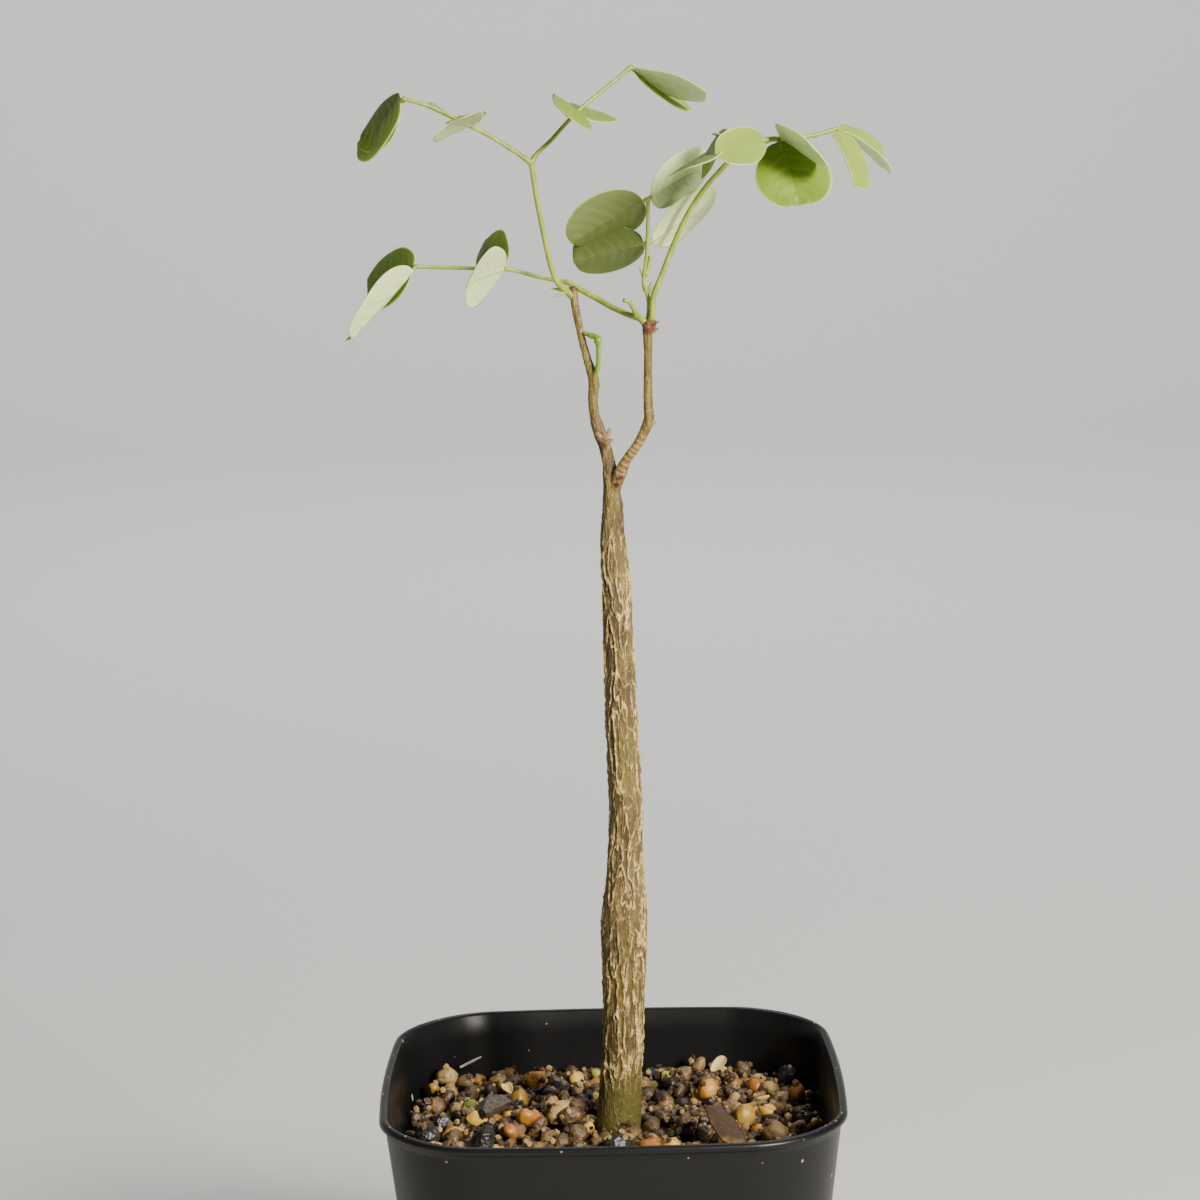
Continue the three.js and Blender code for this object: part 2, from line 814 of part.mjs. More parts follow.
function makeTrunk() {
  const spur = ({ from, to, radii }) => {
    const middle = from.map((v, i) => (v + to[i]) / 2);
    return stalk({ path: [from, middle, to], radii }, 6, 1);
  };
  return joinAll([
    sweep(TRUNK, NET_LINES * COLUMNS_PER_LINE, TRUNK_STEPS, barkNet),
    sweep(LEFT_SHOOT, SHOOT_SIDES, 22),
    sweep(RIGHT_SHOOT, SHOOT_SIDES, 18),
    ...SPURS.map(spur),
  ]);
}

const plant = new THREE.Group();
plant.add(
  meshOf("pot", makePot(), "black_plastic"),
  meshOf("soil", makeSoil(), "granules"),
  meshOf("trunk", makeTrunk(), "bark"),
  meshOf("hooked_shoot", stalk(HOOKED_SHOOT), "shoot_green"),
  meshOf("dead_leaf_flake", debrisBox(FLAKE), "dead_leaf"),
  meshOf("charcoal_chip", debrisBox(CHIP), "charcoal"),
);
for (const [name, spec] of Object.entries(LEAVES)) plant.add(meshOf(name, leaf(spec), "leaf_green"));

export default plant;
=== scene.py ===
"""A young potted Delonix pumila: a netted woody trunk, two thin shoots, four compound leaves, loose
granular soil and a black square nursery pot. Metres, +Z up, and -Y is the side it is seen from.
Sizes inside the classes are in millimetres, and each piece is scaled to metres when it is finished.
"""

import logging
import math
import random
from collections.abc import Callable, Iterator, Sequence
from dataclasses import dataclass, field
from enum import Enum

import bmesh
import bpy
from bmesh.types import BMEdge, BMesh, BMVert
from mathutils import Matrix, Vector, noise


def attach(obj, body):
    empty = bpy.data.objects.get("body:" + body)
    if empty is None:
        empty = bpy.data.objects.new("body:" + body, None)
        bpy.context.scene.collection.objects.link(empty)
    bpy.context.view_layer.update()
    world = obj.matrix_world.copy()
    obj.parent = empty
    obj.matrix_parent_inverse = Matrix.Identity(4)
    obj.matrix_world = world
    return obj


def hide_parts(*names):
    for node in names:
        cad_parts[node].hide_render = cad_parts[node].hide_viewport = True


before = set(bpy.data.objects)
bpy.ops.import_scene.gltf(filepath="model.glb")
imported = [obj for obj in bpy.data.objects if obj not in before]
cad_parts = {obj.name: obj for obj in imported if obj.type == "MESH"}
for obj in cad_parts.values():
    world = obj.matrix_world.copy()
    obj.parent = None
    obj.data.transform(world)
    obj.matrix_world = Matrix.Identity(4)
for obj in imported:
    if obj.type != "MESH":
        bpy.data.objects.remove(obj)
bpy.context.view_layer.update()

MM = 0.001
TAU = 2 * math.pi
LOG = logging.getLogger("potted_plant")
# How far red, green and blue light spreads inside a green blade or stalk, against each other
GREEN_GLOW = (0.6, 1.0, 0.25)

Point = tuple[float, float, float]
Station = tuple[float, float, float, float]
Colour = tuple[float, float, float]


def smoothstep(low: float, high: float, value: float) -> float:
    """Returns 0 below low, 1 above high and a smooth rise between them."""
    share = min(1.0, max(0.0, (value - low) / (high - low)))
    return share * share * (3 - 2 * share)


def blend(a: float, b: float, share: float) -> float:
    """Returns the value at a share of the way from a to b."""
    return a + (b - a) * share


def wander(x: float, y: float = 0.0, z: float = 0.0) -> float:
    """Returns smooth noise between about -1 and 1."""
    return noise.noise(Vector((x + 0.37, y + 0.71, z + 0.13)))


STRAY_OFFSETS = (Vector((0.31, -0.67, 0.83)), Vector((-0.74, 0.42, -0.19)), Vector((0.58, 0.91, -0.46)))


def stray(place: Vector) -> Vector:
    """Returns smooth noise in three directions, the same in every run."""
    return Vector([noise.noise(place + offset) for offset in STRAY_OFFSETS])


# Materials


class Nodes:
    """Adds and joins the nodes of one node tree."""

    def __init__(self, tree: bpy.types.NodeTree) -> None:
        """Keeps the tree that the nodes go into."""
        self.tree = tree

    def put(self, value: object, socket: bpy.types.NodeSocket) -> None:
        """Links an output to an input socket, or sets the socket to a plain value.

        Args:
            value: The output socket or the plain value.
            socket: The input that gets it.
        """
        if isinstance(value, bpy.types.NodeSocket):
            self.tree.links.new(value, socket)
        else:
            socket.default_value = value

    def add(self, kind: str, inputs: dict | None = None, **settings: object) -> bpy.types.Node:
        """Adds a node, sets or links its inputs and sets its options.

        Args:
            kind: The node's type name.
            inputs: A value or an output socket for each input, by name or number.
            settings: The node's own options.

        Returns:
            The new node.
        """
        node = self.tree.nodes.new(kind)
        for name, value in settings.items():
            setattr(node, name, value)
        for key, value in (inputs or {}).items():
            self.put(value, node.inputs[key])
        return node

    def math(self, operation: str, *values: object, clamp: bool = False) -> bpy.types.NodeSocket:
        """Adds a Math node and returns its output.

        Args:
            operation: The node's operation.
            values: Its inputs, each a number or a socket.
            clamp: Whether the result stays between 0 and 1.

        Returns:
            The result's socket.
        """
        node = self.add("ShaderNodeMath", dict(enumerate(values)), operation=operation)
        node.use_clamp = clamp
        return node.outputs[0]

    def mix(self, share: object, a: object, b: object) -> bpy.types.NodeSocket:
        """Mixes two colours by a share and returns the result.

        Args:
            share: How much of the second colour shows, from 0 to 1.
            a: The first colour or its socket.
            b: The second colour or its socket.

        Returns:
            The mixed colour's socket.
        """
        node = self.add("ShaderNodeMix", data_type="RGBA")
        a, b = (c if isinstance(c, bpy.types.NodeSocket) else (*c, 1.0) for c in (a, b))
        for key, value in (("Factor_Float", share), ("A_Color", a), ("B_Color", b)):
            self.put(value, next(s for s in node.inputs if s.identifier == key))
        return next(s for s in node.outputs if s.identifier == "Result_Color")

    def rise(self, value: object, low: float, high: float) -> bpy.types.NodeSocket:
        """Maps a value to 0 below low, 1 above high and a smooth rise between them.

        Args:
            value: The value's socket.
            low: Where the rise starts.
            high: Where it ends.

        Returns:
            The result's socket.
        """
        inputs = {"Value": value, "From Min": low, "From Max": high}
        node = self.add("ShaderNodeMapRange", inputs, interpolation_type="SMOOTHSTEP")
        return node.outputs["Result"]

    def noise(
        self, vector: object, scale: float, detail: float = 3.0, rough: float = 0.55
    ) -> bpy.types.NodeSocket:
        """Adds fractal noise and returns its value, which is between 0 and 1."""
        inputs = {"Vector": vector, "Scale": scale, "Detail": detail, "Roughness": rough}
        return self.add("ShaderNodeTexNoise", inputs).outputs["Fac"]

    def attribute(self, name: str) -> bpy.types.NodeSocket:
        """Returns the value that the mesh holds under a name."""
        return self.add("ShaderNodeAttribute", attribute_name=name).outputs["Fac"]

    def stretched(self, scale: Point = (1.0, 1.0, 1.0)) -> bpy.types.NodeSocket:
        """Returns the object coordinates, scaled along each axis."""
        place = self.add("ShaderNodeTexCoord").outputs["Object"]
        return self.add("ShaderNodeMapping", {"Vector": place, "Scale": scale}).outputs["Vector"]


class SharedEffects:
    """Node groups that several finishes use, each built once."""

    _made: dict[str, bpy.types.NodeTree] = {}

    @classmethod
    def _start(cls, name: str, inputs: dict[str, str], outputs: dict[str, str]) -> bpy.types.NodeTree:
        """Makes an empty group with named inputs and outputs.

        Args:
            name: The group's name.
            inputs: Socket kind by input name.
            outputs: Socket kind by output name.

        Returns:
            The group's node tree.
        """
        tree = bpy.data.node_groups.new(name, "ShaderNodeTree")
        for side, sockets in (("INPUT", inputs), ("OUTPUT", outputs)):
            for socket, kind in sockets.items():
                tree.interface.new_socket(name=socket, in_out=side, socket_type="NodeSocket" + kind)
        cls._made[name] = tree
        return tree

    @classmethod
    def use(cls, nodes: Nodes, name: str, inputs: dict) -> bpy.types.Node:
        """Places a shared group in a material.

        Args:
            nodes: The material's nodes.
            name: The group's name, which is also the name of the method that builds it.
            inputs: The group's input values.

        Returns:
            The group node.
        """
        if name not in cls._made:
            getattr(cls, name)()
        return nodes.add("ShaderNodeGroup", inputs, node_tree=cls._made[name])

    @classmethod
    def specks(cls) -> None:
        """Builds sparse round specks: a mask that is 1 on each speck."""
        sockets = {"Vector": "Vector", "Scale": "Float", "Share": "Float"}
        tree = cls._start("specks", sockets, {"Mask": "Float"})
        nodes = Nodes(tree)
        source = nodes.add("NodeGroupInput").outputs
        cells = nodes.add("ShaderNodeTexVoronoi", {"Vector": source["Vector"], "Scale": source["Scale"]})
        chosen = nodes.add("ShaderNodeSeparateColor", {"Color": cells.outputs["Color"]})
        rare = nodes.math("LESS_THAN", chosen.outputs[0], source["Share"])
        size = nodes.math("MULTIPLY_ADD", chosen.outputs[1], 0.16, 0.05)
        round_spot = nodes.math("LESS_THAN", cells.outputs["Distance"], size)
        mask = nodes.math("MULTIPLY", rare, round_spot)
        nodes.add("NodeGroupOutput", {"Mask": mask})

    @classmethod
    def pits(cls) -> None:
        """Builds a pitted, grainy surface: a height between 0 and 1."""
        tree = cls._start("pits", {"Vector": "Vector", "Scale": "Float"}, {"Height": "Float"})
        nodes = Nodes(tree)
        source = nodes.add("NodeGroupInput").outputs
        sampled = {"Vector": source["Vector"], "Scale": source["Scale"]}
        warp = nodes.add("ShaderNodeTexNoise", {**sampled, "Detail": 4.0})
        cells = nodes.add("ShaderNodeTexVoronoi", {**sampled, "Randomness": 1.0}, feature="SMOOTH_F1")
        hollow = nodes.rise(cells.outputs["Distance"], 0.1, 0.7)
        height = nodes.math("MULTIPLY_ADD", warp.outputs["Fac"], 0.8, nodes.math("MULTIPLY", hollow, 0.5))
        nodes.add("NodeGroupOutput", {"Height": height})

    @classmethod
    def veins(cls) -> None:
        """Builds a leaflet's pinnate veins from its blade coordinates: midrib, side veins and margin."""
        tree = cls._start(
            "veins",
            {"Vector": "Vector", "Wobble": "Vector", "Pairs": "Float"},
            {"Midrib": "Float", "Side veins": "Float", "Margin": "Float"},
        )
        nodes = Nodes(tree)
        source = nodes.add("NodeGroupInput").outputs
        place = nodes.add("ShaderNodeSeparateXYZ", {"Vector": source["Vector"]}).outputs
        across = nodes.math("ABSOLUTE", nodes.math("MULTIPLY_ADD", place["Y"], 2.0, -1.0))
        crooked = nodes.math("MULTIPLY_ADD", nodes.noise(source["Wobble"], 260.0, 2.0), 0.16, -0.08)
        slant = nodes.math("MULTIPLY", nodes.math("POWER", across, 1.35), -0.26)
        phase = nodes.math("ADD", nodes.math("ADD", place["X"], slant), crooked)
        wave = nodes.math("PINGPONG", nodes.math("MULTIPLY", phase, source["Pairs"]), 0.5)
        line = nodes.rise(wave, 0.13, 0.02)
        faded = nodes.math("MULTIPLY", line, nodes.rise(across, 0.95, 0.35))
        inner = nodes.math("MULTIPLY", faded, nodes.rise(place["X"], 0.0, 0.12))
        width = nodes.math("MULTIPLY_ADD", place["X"], -0.035, 0.055)
        midrib = nodes.rise(nodes.math("SUBTRACT", across, width), 0.03, -0.01)
        margin = nodes.rise(across, 0.955, 0.995)
        nodes.add("NodeGroupOutput", {"Midrib": midrib, "Side veins": inner, "Margin": margin})


class Finish:
    """Base of the finishes: makes a material once and dresses it."""

    name: str
    _made: dict[str, bpy.types.Material] = {}

    def material(self) -> bpy.types.Material:
        """Returns this finish's material, which is made on the first call."""
        if self.name not in self._made:
            material = bpy.data.materials.new(self.name)
            material.use_nodes = True
            nodes = Nodes(material.node_tree)
            shader = material.node_tree.nodes["Principled BSDF"]
            self.dress(nodes, shader)
            self._made[self.name] = material
        return self._made[self.name]

    def dress(self, nodes: Nodes, shader: bpy.types.Node) -> None:
        """Adds the finish's own nodes and feeds them to the shader."""
        raise NotImplementedError

    @staticmethod
    def feed(nodes: Nodes, shader: bpy.types.Node, **inputs: object) -> None:
        """Links sockets or sets values on the shader, with _ standing for a space in a name.

        Args:
            nodes: The material's nodes.
            shader: The shader that is fed.
            inputs: A socket or a value by the input's name.
        """
        for key, value in inputs.items():
            nodes.put(value, shader.inputs[key.replace("_", " ")])

    @staticmethod
    def bump(nodes: Nodes, height: object, distance: float, strength: float = 1.0) -> bpy.types.NodeSocket:
        """Adds a Bump node and returns its normal. The distance is in metres."""
        inputs = {"Height": height, "Distance": distance, "Strength": strength}
        return nodes.add("ShaderNodeBump", inputs).outputs["Normal"]


@dataclass(frozen=True)
class PlasticFinish(Finish):
    """Thin black moulded plastic with a soft gloss, faint wear and dust."""

    name: str = "black_pot_plastic"
    colour: Colour = (0.0040, 0.0041, 0.0044)
    worn: Colour = (0.013, 0.0126, 0.012)
    dust: Colour = (0.34, 0.30, 0.24)
    roughness: float = 0.34

    def dress(self, nodes: Nodes, shader: bpy.types.Node) -> None:
        """Adds moulding texture, clouded gloss, dust and pale specks.

        Args:
            nodes: The material's nodes.
            shader: The material's Principled shader.
        """
        place = nodes.stretched()
        cloud = nodes.noise(place, 60.0, 4.0)
        drawn = nodes.noise(nodes.stretched((1.0, 1.0, 0.12)), 420.0, 3.0)
        film = nodes.rise(nodes.noise(place, 24.0, 5.0, 0.62), 0.5, 0.8)
        specks = SharedEffects.use(nodes, "specks", {"Vector": place, "Scale": 620.0, "Share": 0.05})
        motes = SharedEffects.use(nodes, "specks", {"Vector": place, "Scale": 260.0, "Share": 0.022})
        dirt = nodes.math("MAXIMUM", nodes.math("MULTIPLY", specks.outputs[0], 0.55), motes.outputs[0])
        base = nodes.mix(nodes.math("MULTIPLY", film, 0.75), self.colour, self.worn)
        colour = nodes.mix(dirt, base, self.dust)
        gloss = nodes.math("MULTIPLY_ADD", cloud, 0.16, self.roughness - 0.06)
        matt = nodes.math("MULTIPLY_ADD", film, 0.1, nodes.math("MULTIPLY", dirt, 0.4))
        rough = nodes.math("ADD", gloss, matt)
        height = nodes.math("ADD", nodes.math("MULTIPLY", drawn, 0.5), nodes.noise(place, 1500.0, 2.0))
        normal = self.bump(nodes, nodes.math("ADD", height, dirt), 0.00003, 0.5)
        self.feed(nodes, shader, Base_Color=colour, Roughness=rough, Normal=normal, Specular_IOR_Level=0.28)


@dataclass(frozen=True)
class BarkFinish(Finish):
    """Olive-brown bark under a pale corky net, green at its foot and smoother on the young shoots.

    The mesh marks cork (on the net's ridges), lens (worn or dark inside a mesh of the net), age (old
    bark to young shoot), scar and rings.
    """

    name: str = "netted_bark"
    furrow: Colour = (0.050, 0.027, 0.006)
    furrow_olive: Colour = (0.082, 0.060, 0.009)
    cork: Colour = (0.72, 0.53, 0.24)
    cork_worn: Colour = (0.28, 0.195, 0.048)
    foot: Colour = (0.070, 0.062, 0.008)
    young: Colour = (0.108, 0.066, 0.010)
    young_light: Colour = (0.235, 0.165, 0.038)
    scar: Colour = (0.055, 0.014, 0.008)
    ring: Colour = (0.62, 0.44, 0.19)

    def dress(self, nodes: Nodes, shader: bpy.types.Node) -> None:
        """Mixes old bark, the green foot, young bark, rings and scars by the mesh's marks.

        Args:
            nodes: The material's nodes.
            shader: The material's Principled shader.
        """
        cork = nodes.attribute("cork")
        age = nodes.attribute("age")
        grain = nodes.noise(nodes.stretched((1.0, 1.0, 0.16)), 1500.0, 5.0)
        patch = nodes.noise(nodes.stretched((1.0, 1.0, 0.4)), 260.0, 4.0)
        fine = nodes.noise(nodes.stretched((1.0, 1.0, 0.5)), 4200.0, 3.0)
        strands = self._strands(nodes, 900.0, 0.24)
        threads = self._strands(nodes, 1900.0, 0.2)
        old = nodes.mix(nodes.rise(patch, 0.40, 0.60), self.furrow, self.furrow_olive)
        worn = nodes.math("MULTIPLY_ADD", nodes.attribute("lens"), 0.34, nodes.math("MULTIPLY", patch, 0.1))
        streaks = nodes.math("MULTIPLY_ADD", nodes.rise(grain, 0.42, 0.62), 0.6, 0.4)
        worn = nodes.math("MULTIPLY", worn, streaks)
        old = nodes.mix(worn, old, self.cork_worn)
        thin = nodes.math("MULTIPLY", threads, 0.35)
        lines = nodes.math("MAXIMUM", nodes.math("MULTIPLY", strands, 0.7), thin)
        old = nodes.mix(nodes.math("MULTIPLY", lines, 0.44), old, self.cork)
        ridge = nodes.mix(nodes.rise(fine, 0.40, 0.58), self.cork_worn, self.cork)
        broken = nodes.math("MULTIPLY_ADD", nodes.math("SUBTRACT", grain, 0.5), 0.9, cork)
        share = nodes.rise(broken, 0.3, 0.8)
        old = nodes.mix(nodes.math("MULTIPLY", share, 0.9), old, ridge)
        height = nodes.add("ShaderNodeSeparateXYZ", {"Vector": nodes.stretched()}).outputs["Z"]
        low = nodes.math("MULTIPLY_ADD", patch, 0.012, height)
        old = nodes.mix(nodes.math("MULTIPLY", nodes.rise(low, 0.0745, 0.0665), 0.85), old, self.foot)
        young = nodes.mix(nodes.rise(grain, 0.36, 0.72), self.young, self.young_light)
        young = nodes.mix(nodes.math("MULTIPLY", threads, 0.3), young, self.ring)
        colour = nodes.mix(age, old, young)
        colour = nodes.mix(nodes.attribute("ring"), colour, self.ring)
        colour = nodes.mix(nodes.math("MULTIPLY", nodes.attribute("scar"), 0.92), colour, self.scar)
        flecks = SharedEffects.use(
            nodes, "specks", {"Vector": nodes.stretched((1.0, 1.0, 0.6)), "Scale": 1500.0, "Share": 0.12}
        ).outputs[0]
        colour = nodes.mix(nodes.math("MULTIPLY", flecks, 0.5), colour, self.cork)
        relief = nodes.math("MULTIPLY_ADD", fine, 0.35, nodes.math("MULTIPLY_ADD", lines, 0.8, grain))
        normal = self.bump(nodes, relief, 0.00022, 0.9)
        rough = nodes.math("MULTIPLY_ADD", age, -0.2, 0.58)
        self.feed(nodes, shader, Base_Color=colour, Roughness=rough, Normal=normal, Specular_IOR_Level=0.4)

    @staticmethod
    def _strands(nodes: Nodes, scale: float, stretch: float) -> bpy.types.NodeSocket:
        """Adds thin crooked strands along the stem and returns their mask.

        Args:
            nodes: The material's nodes.
            scale: How closely the strands stand.
            stretch: The share of that scale along the stem.

        Returns:
            1 on a strand and 0 between the strands.
        """
        field = nodes.noise(nodes.stretched((1.0, 1.0, stretch)), scale, 2.0, 0.5)
        away = nodes.math("ABSOLUTE", nodes.math("SUBTRACT", field, 0.5))
        return nodes.rise(away, 0.03, 0.004)


@dataclass(frozen=True)
class BladeFinish(Finish):
    """One face of a leaflet: pinnate veins, a pale margin, and per leaflet a paler colour that is partly
    glaucous and partly painted light, and painted shade.
    """

    name: str
    colour: Colour
    other: Colour
    # Paler colour: partly the face's own glaucous paleness, partly painted light on leaflets that should look
    # brightly lit.
    bloom_and_painted_light: Colour
    # Darker colour for a leaflet that should look shaded: painted shade, mixed in by the leaflet's own mark.
    painted_shade: Colour
    vein: Colour
    margin: Colour
    vein_strength: float
    relief: float
    roughness: float

    def dress(self, nodes: Nodes, shader: bpy.types.Node) -> None:
        """Adds mottling, veins, the margin and a fine cell texture.

        Args:
            nodes: The material's nodes.
            shader: The material's Principled shader.
        """
        place = nodes.stretched()
        blade = nodes.add("ShaderNodeUVMap", uv_map="blade").outputs["UV"]
        veins = SharedEffects.use(nodes, "veins", {"Vector": blade, "Wobble": place, "Pairs": 7.0}).outputs
        mottle = nodes.rise(nodes.noise(place, 190.0, 4.0), 0.32, 0.68)
        cells = nodes.noise(place, 2600.0, 3.0)
        colour = nodes.mix(mottle, self.colour, self.other)
        # Mixes in the paler colour by the leaflet's mark: partly its own glaucous paleness, partly painted
        # light.
        pale = nodes.math("MULTIPLY_ADD", mottle, 0.12, nodes.attribute("bloom_and_painted_light"), clamp=True)
        colour = nodes.mix(pale, colour, self.bloom_and_painted_light)
        # Painted shade: darkens the leaflets that are marked as lying in shade.
        colour = nodes.mix(nodes.math("MULTIPLY", nodes.attribute("painted_shade"), 0.85), colour, self.painted_shade)
        lines = nodes.math("MAXIMUM", nodes.math("MULTIPLY", veins["Side veins"], 0.55), veins["Midrib"])
        colour = nodes.mix(nodes.math("MULTIPLY", lines, self.vein_strength), colour, self.vein)
        colour = nodes.mix(nodes.math("MULTIPLY", veins["Margin"], 0.85), colour, self.margin)
        height = nodes.math("MULTIPLY_ADD", lines, self.relief, nodes.math("MULTIPLY", cells, 0.35))
        normal = self.bump(nodes, height, 0.00006, 0.6)
        rough = nodes.math("MULTIPLY_ADD", cells, 0.12, self.roughness - 0.06)
        self.feed(nodes, shader, Base_Color=colour, Roughness=rough, Normal=normal, Specular_IOR_Level=0.4)
        self.feed(nodes, shader, Subsurface_Weight=0.35, Subsurface_Scale=0.0011)
        shader.inputs["Subsurface Radius"].default_value = GREEN_GLOW


@dataclass(frozen=True)
class StalkFinish(Finish):
    """Yellow-green stalks with fine long paler streaks and darker soft patches."""

    name: str = "green_stalk"
    colour: Colour = (0.195, 0.260, 0.022)
    light: Colour = (0.310, 0.370, 0.050)
    tip: Colour = (0.135, 0.200, 0.014)
    roughness: float = 0.42

    def dress(self, nodes: Nodes, shader: bpy.types.Node) -> None:
        """Adds streaks and soft patches.

        Args:
            nodes: The material's nodes.
            shader: Its shader.
        """
        place = nodes.stretched()
        streak = nodes.noise(nodes.stretched((1.0, 1.0, 0.2)), 900.0, 3.0)
        patch = nodes.noise(place, 150.0, 3.0)
        colour = nodes.mix(nodes.rise(streak, 0.35, 0.7), self.colour, self.light)
        colour = nodes.mix(nodes.math("MULTIPLY", nodes.rise(patch, 0.5, 0.75), 0.6), colour, self.tip)
        normal = self.bump(nodes, streak, 0.00004, 0.6)
        self.feed(nodes, shader, Base_Color=colour, Roughness=self.roughness, Normal=normal)
        self.feed(nodes, shader, Subsurface_Weight=0.15, Subsurface_Scale=0.001)
        shader.inputs["Subsurface Radius"].default_value = GREEN_GLOW


@dataclass(frozen=True)
class GranuleFinish(Finish):
    """A kind of granule: two colours mixed in patches, with pits, pale flecks and some gloss."""

    name: str
    dark: Colour
    light: Colour
    fleck: Colour
    roughness: float
    pit_scale: float
    pit_depth: float
    wet: float = 0.0

    def dress(self, nodes: Nodes, shader: bpy.types.Node) -> None:
        """Adds patches that differ from granule to granule, flecks and pits.

        Args:
            nodes: The material's nodes.
            shader: Its shader.
        """
        place = nodes.stretched()
        tone = nodes.attribute("tone")
        patch = nodes.noise(place, 620.0, 4.0)
        share = nodes.rise(nodes.math("MULTIPLY_ADD", patch, 0.6, tone), 0.35, 1.25)
        pits = SharedEffects.use(nodes, "pits", {"Vector": place, "Scale": self.pit_scale}).outputs[0]
        specks = SharedEffects.use(nodes, "specks", {"Vector": place, "Scale": 1900.0, "Share": 0.16})
        colour = nodes.mix(share, self.dark, self.light)
        # Painted shade: the pits' hollows are darkened towards the dark colour.
        colour = nodes.mix(nodes.math("MULTIPLY", nodes.rise(pits, 0.72, 0.42), 0.55), colour, self.dark)
        colour = nodes.mix(nodes.math("MULTIPLY", specks.outputs[0], 0.7), colour, self.fleck)
        normal = self.bump(nodes, pits, self.pit_depth * MM, 0.9)
        rough = nodes.math("MULTIPLY_ADD", patch, 0.2, self.roughness - 0.1)
        self.feed(nodes, shader, Base_Color=colour, Roughness=rough, Normal=normal, Coat_Weight=self.wet)
        self.feed(nodes, shader, Coat_Roughness=0.25)


@dataclass(frozen=True)
class DryFinish(Finish):
    """Dead plant matter: two browns in streaks, with fine fibres."""

    name: str
    colour: Colour
    patch: Colour
    fibre: Colour
    roughness: float = 0.6

    def dress(self, nodes: Nodes, shader: bpy.types.Node) -> None:
        """Adds patches and fibres.

        Args:
            nodes: The material's nodes.
            shader: Its shader.
        """
        place = nodes.stretched()
        patch = nodes.rise(nodes.noise(place, 330.0, 4.0), 0.5, 0.68)
        fibres = nodes.noise(nodes.stretched((0.35, 1.0, 0.5)), 2600.0, 3.0)
        colour = nodes.mix(patch, self.colour, self.patch)
        colour = nodes.mix(nodes.math("MULTIPLY", nodes.rise(fibres, 0.52, 0.7), 0.45), colour, self.fibre)
        normal = self.bump(nodes, fibres, 0.00012, 0.8)
        self.feed(nodes, shader, Base_Color=colour, Roughness=self.roughness, Normal=normal)


@dataclass(frozen=True)
class PlainFinish(Finish):
    """The plain pale floor."""

    name: str
    colour: Colour
    roughness: float

    def dress(self, nodes: Nodes, shader: bpy.types.Node) -> None:
        """Sets one even colour."""
        self.feed(nodes, shader, Base_Color=(*self.colour, 1.0), Roughness=self.roughness)


UPPER_FACE = BladeFinish(
    name="leaflet_upper_face",
    colour=(0.145, 0.225, 0.012),
    other=(0.195, 0.285, 0.022),
    # Painted light for the upper face, which has no glaucous paleness of its own.
    bloom_and_painted_light=(0.235, 0.320, 0.050),
    # Painted shade for the upper face.
    painted_shade=(0.070, 0.125, 0.005),
    vein=(0.27, 0.37, 0.075),
    margin=(0.44, 0.50, 0.17),
    vein_strength=0.4,
    relief=-0.8,
    roughness=0.46,
)
UNDER_FACE = BladeFinish(
    name="leaflet_under_face",
    colour=(0.300, 0.385, 0.060),
    other=(0.370, 0.450, 0.095),
    # The under face's own glaucous cream, also used as painted light on leaflets that should look brightly
    # lit.
    bloom_and_painted_light=(0.520, 0.610, 0.290),
    # Painted shade for the under face.
    painted_shade=(0.082, 0.108, 0.028),
    vein=(0.115, 0.165, 0.028),
    margin=(0.50, 0.56, 0.22),
    vein_strength=0.5,
    relief=1.0,
    roughness=0.6,
)
PETIOLE = StalkFinish()
SPRIG = StalkFinish("fresh_shoot", (0.12, 0.235, 0.012), (0.20, 0.33, 0.035), (0.17, 0.27, 0.025), 0.36)
BARK = BarkFinish()
DEAD_WOOD = DryFinish("dead_spur", (0.23, 0.145, 0.055), (0.085, 0.034, 0.014), (0.52, 0.38, 0.18), 0.7)
BUD_SCALE = DryFinish("bud_scale", (0.115, 0.034, 0.012), (0.36, 0.19, 0.085), (0.52, 0.35, 0.19), 0.5)
DEAD_LEAF = DryFinish("dead_leaf", (0.034, 0.016, 0.006), (0.15, 0.070, 0.016), (0.085, 0.045, 0.020), 0.45)
CHARRED = GranuleFinish(
    "charred_wood", (0.014, 0.010, 0.007), (0.060, 0.044, 0.030), (0.30, 0.23, 0.15), 0.5, 1600.0, 0.16
)
HUSK = DryFinish("dry_husk", (0.50, 0.36, 0.12), (0.40, 0.40, 0.13), (0.66, 0.55, 0.30), 0.6)
TWIG = DryFinish("grey_twig", (0.30, 0.26, 0.21), (0.17, 0.13, 0.10), (0.48, 0.44, 0.38), 0.8)
POT_PLASTIC = PlasticFinish()
FLOOR = PlainFinish("pale_floor", (0.60, 0.60, 0.59), 0.85)


# Shapes


@dataclass
class Ring:
    """One cross section of a swept body."""

    centre: Vector
    along: Vector
    across: Vector
    up: Vector
    radius: float
    distance: float

    def point(self, angle: float, radius: float) -> Vector:
        """Returns the point at an angle and a radius."""
        return self.centre + self.across * (radius * math.cos(angle)) + self.up * (radius * math.sin(angle))


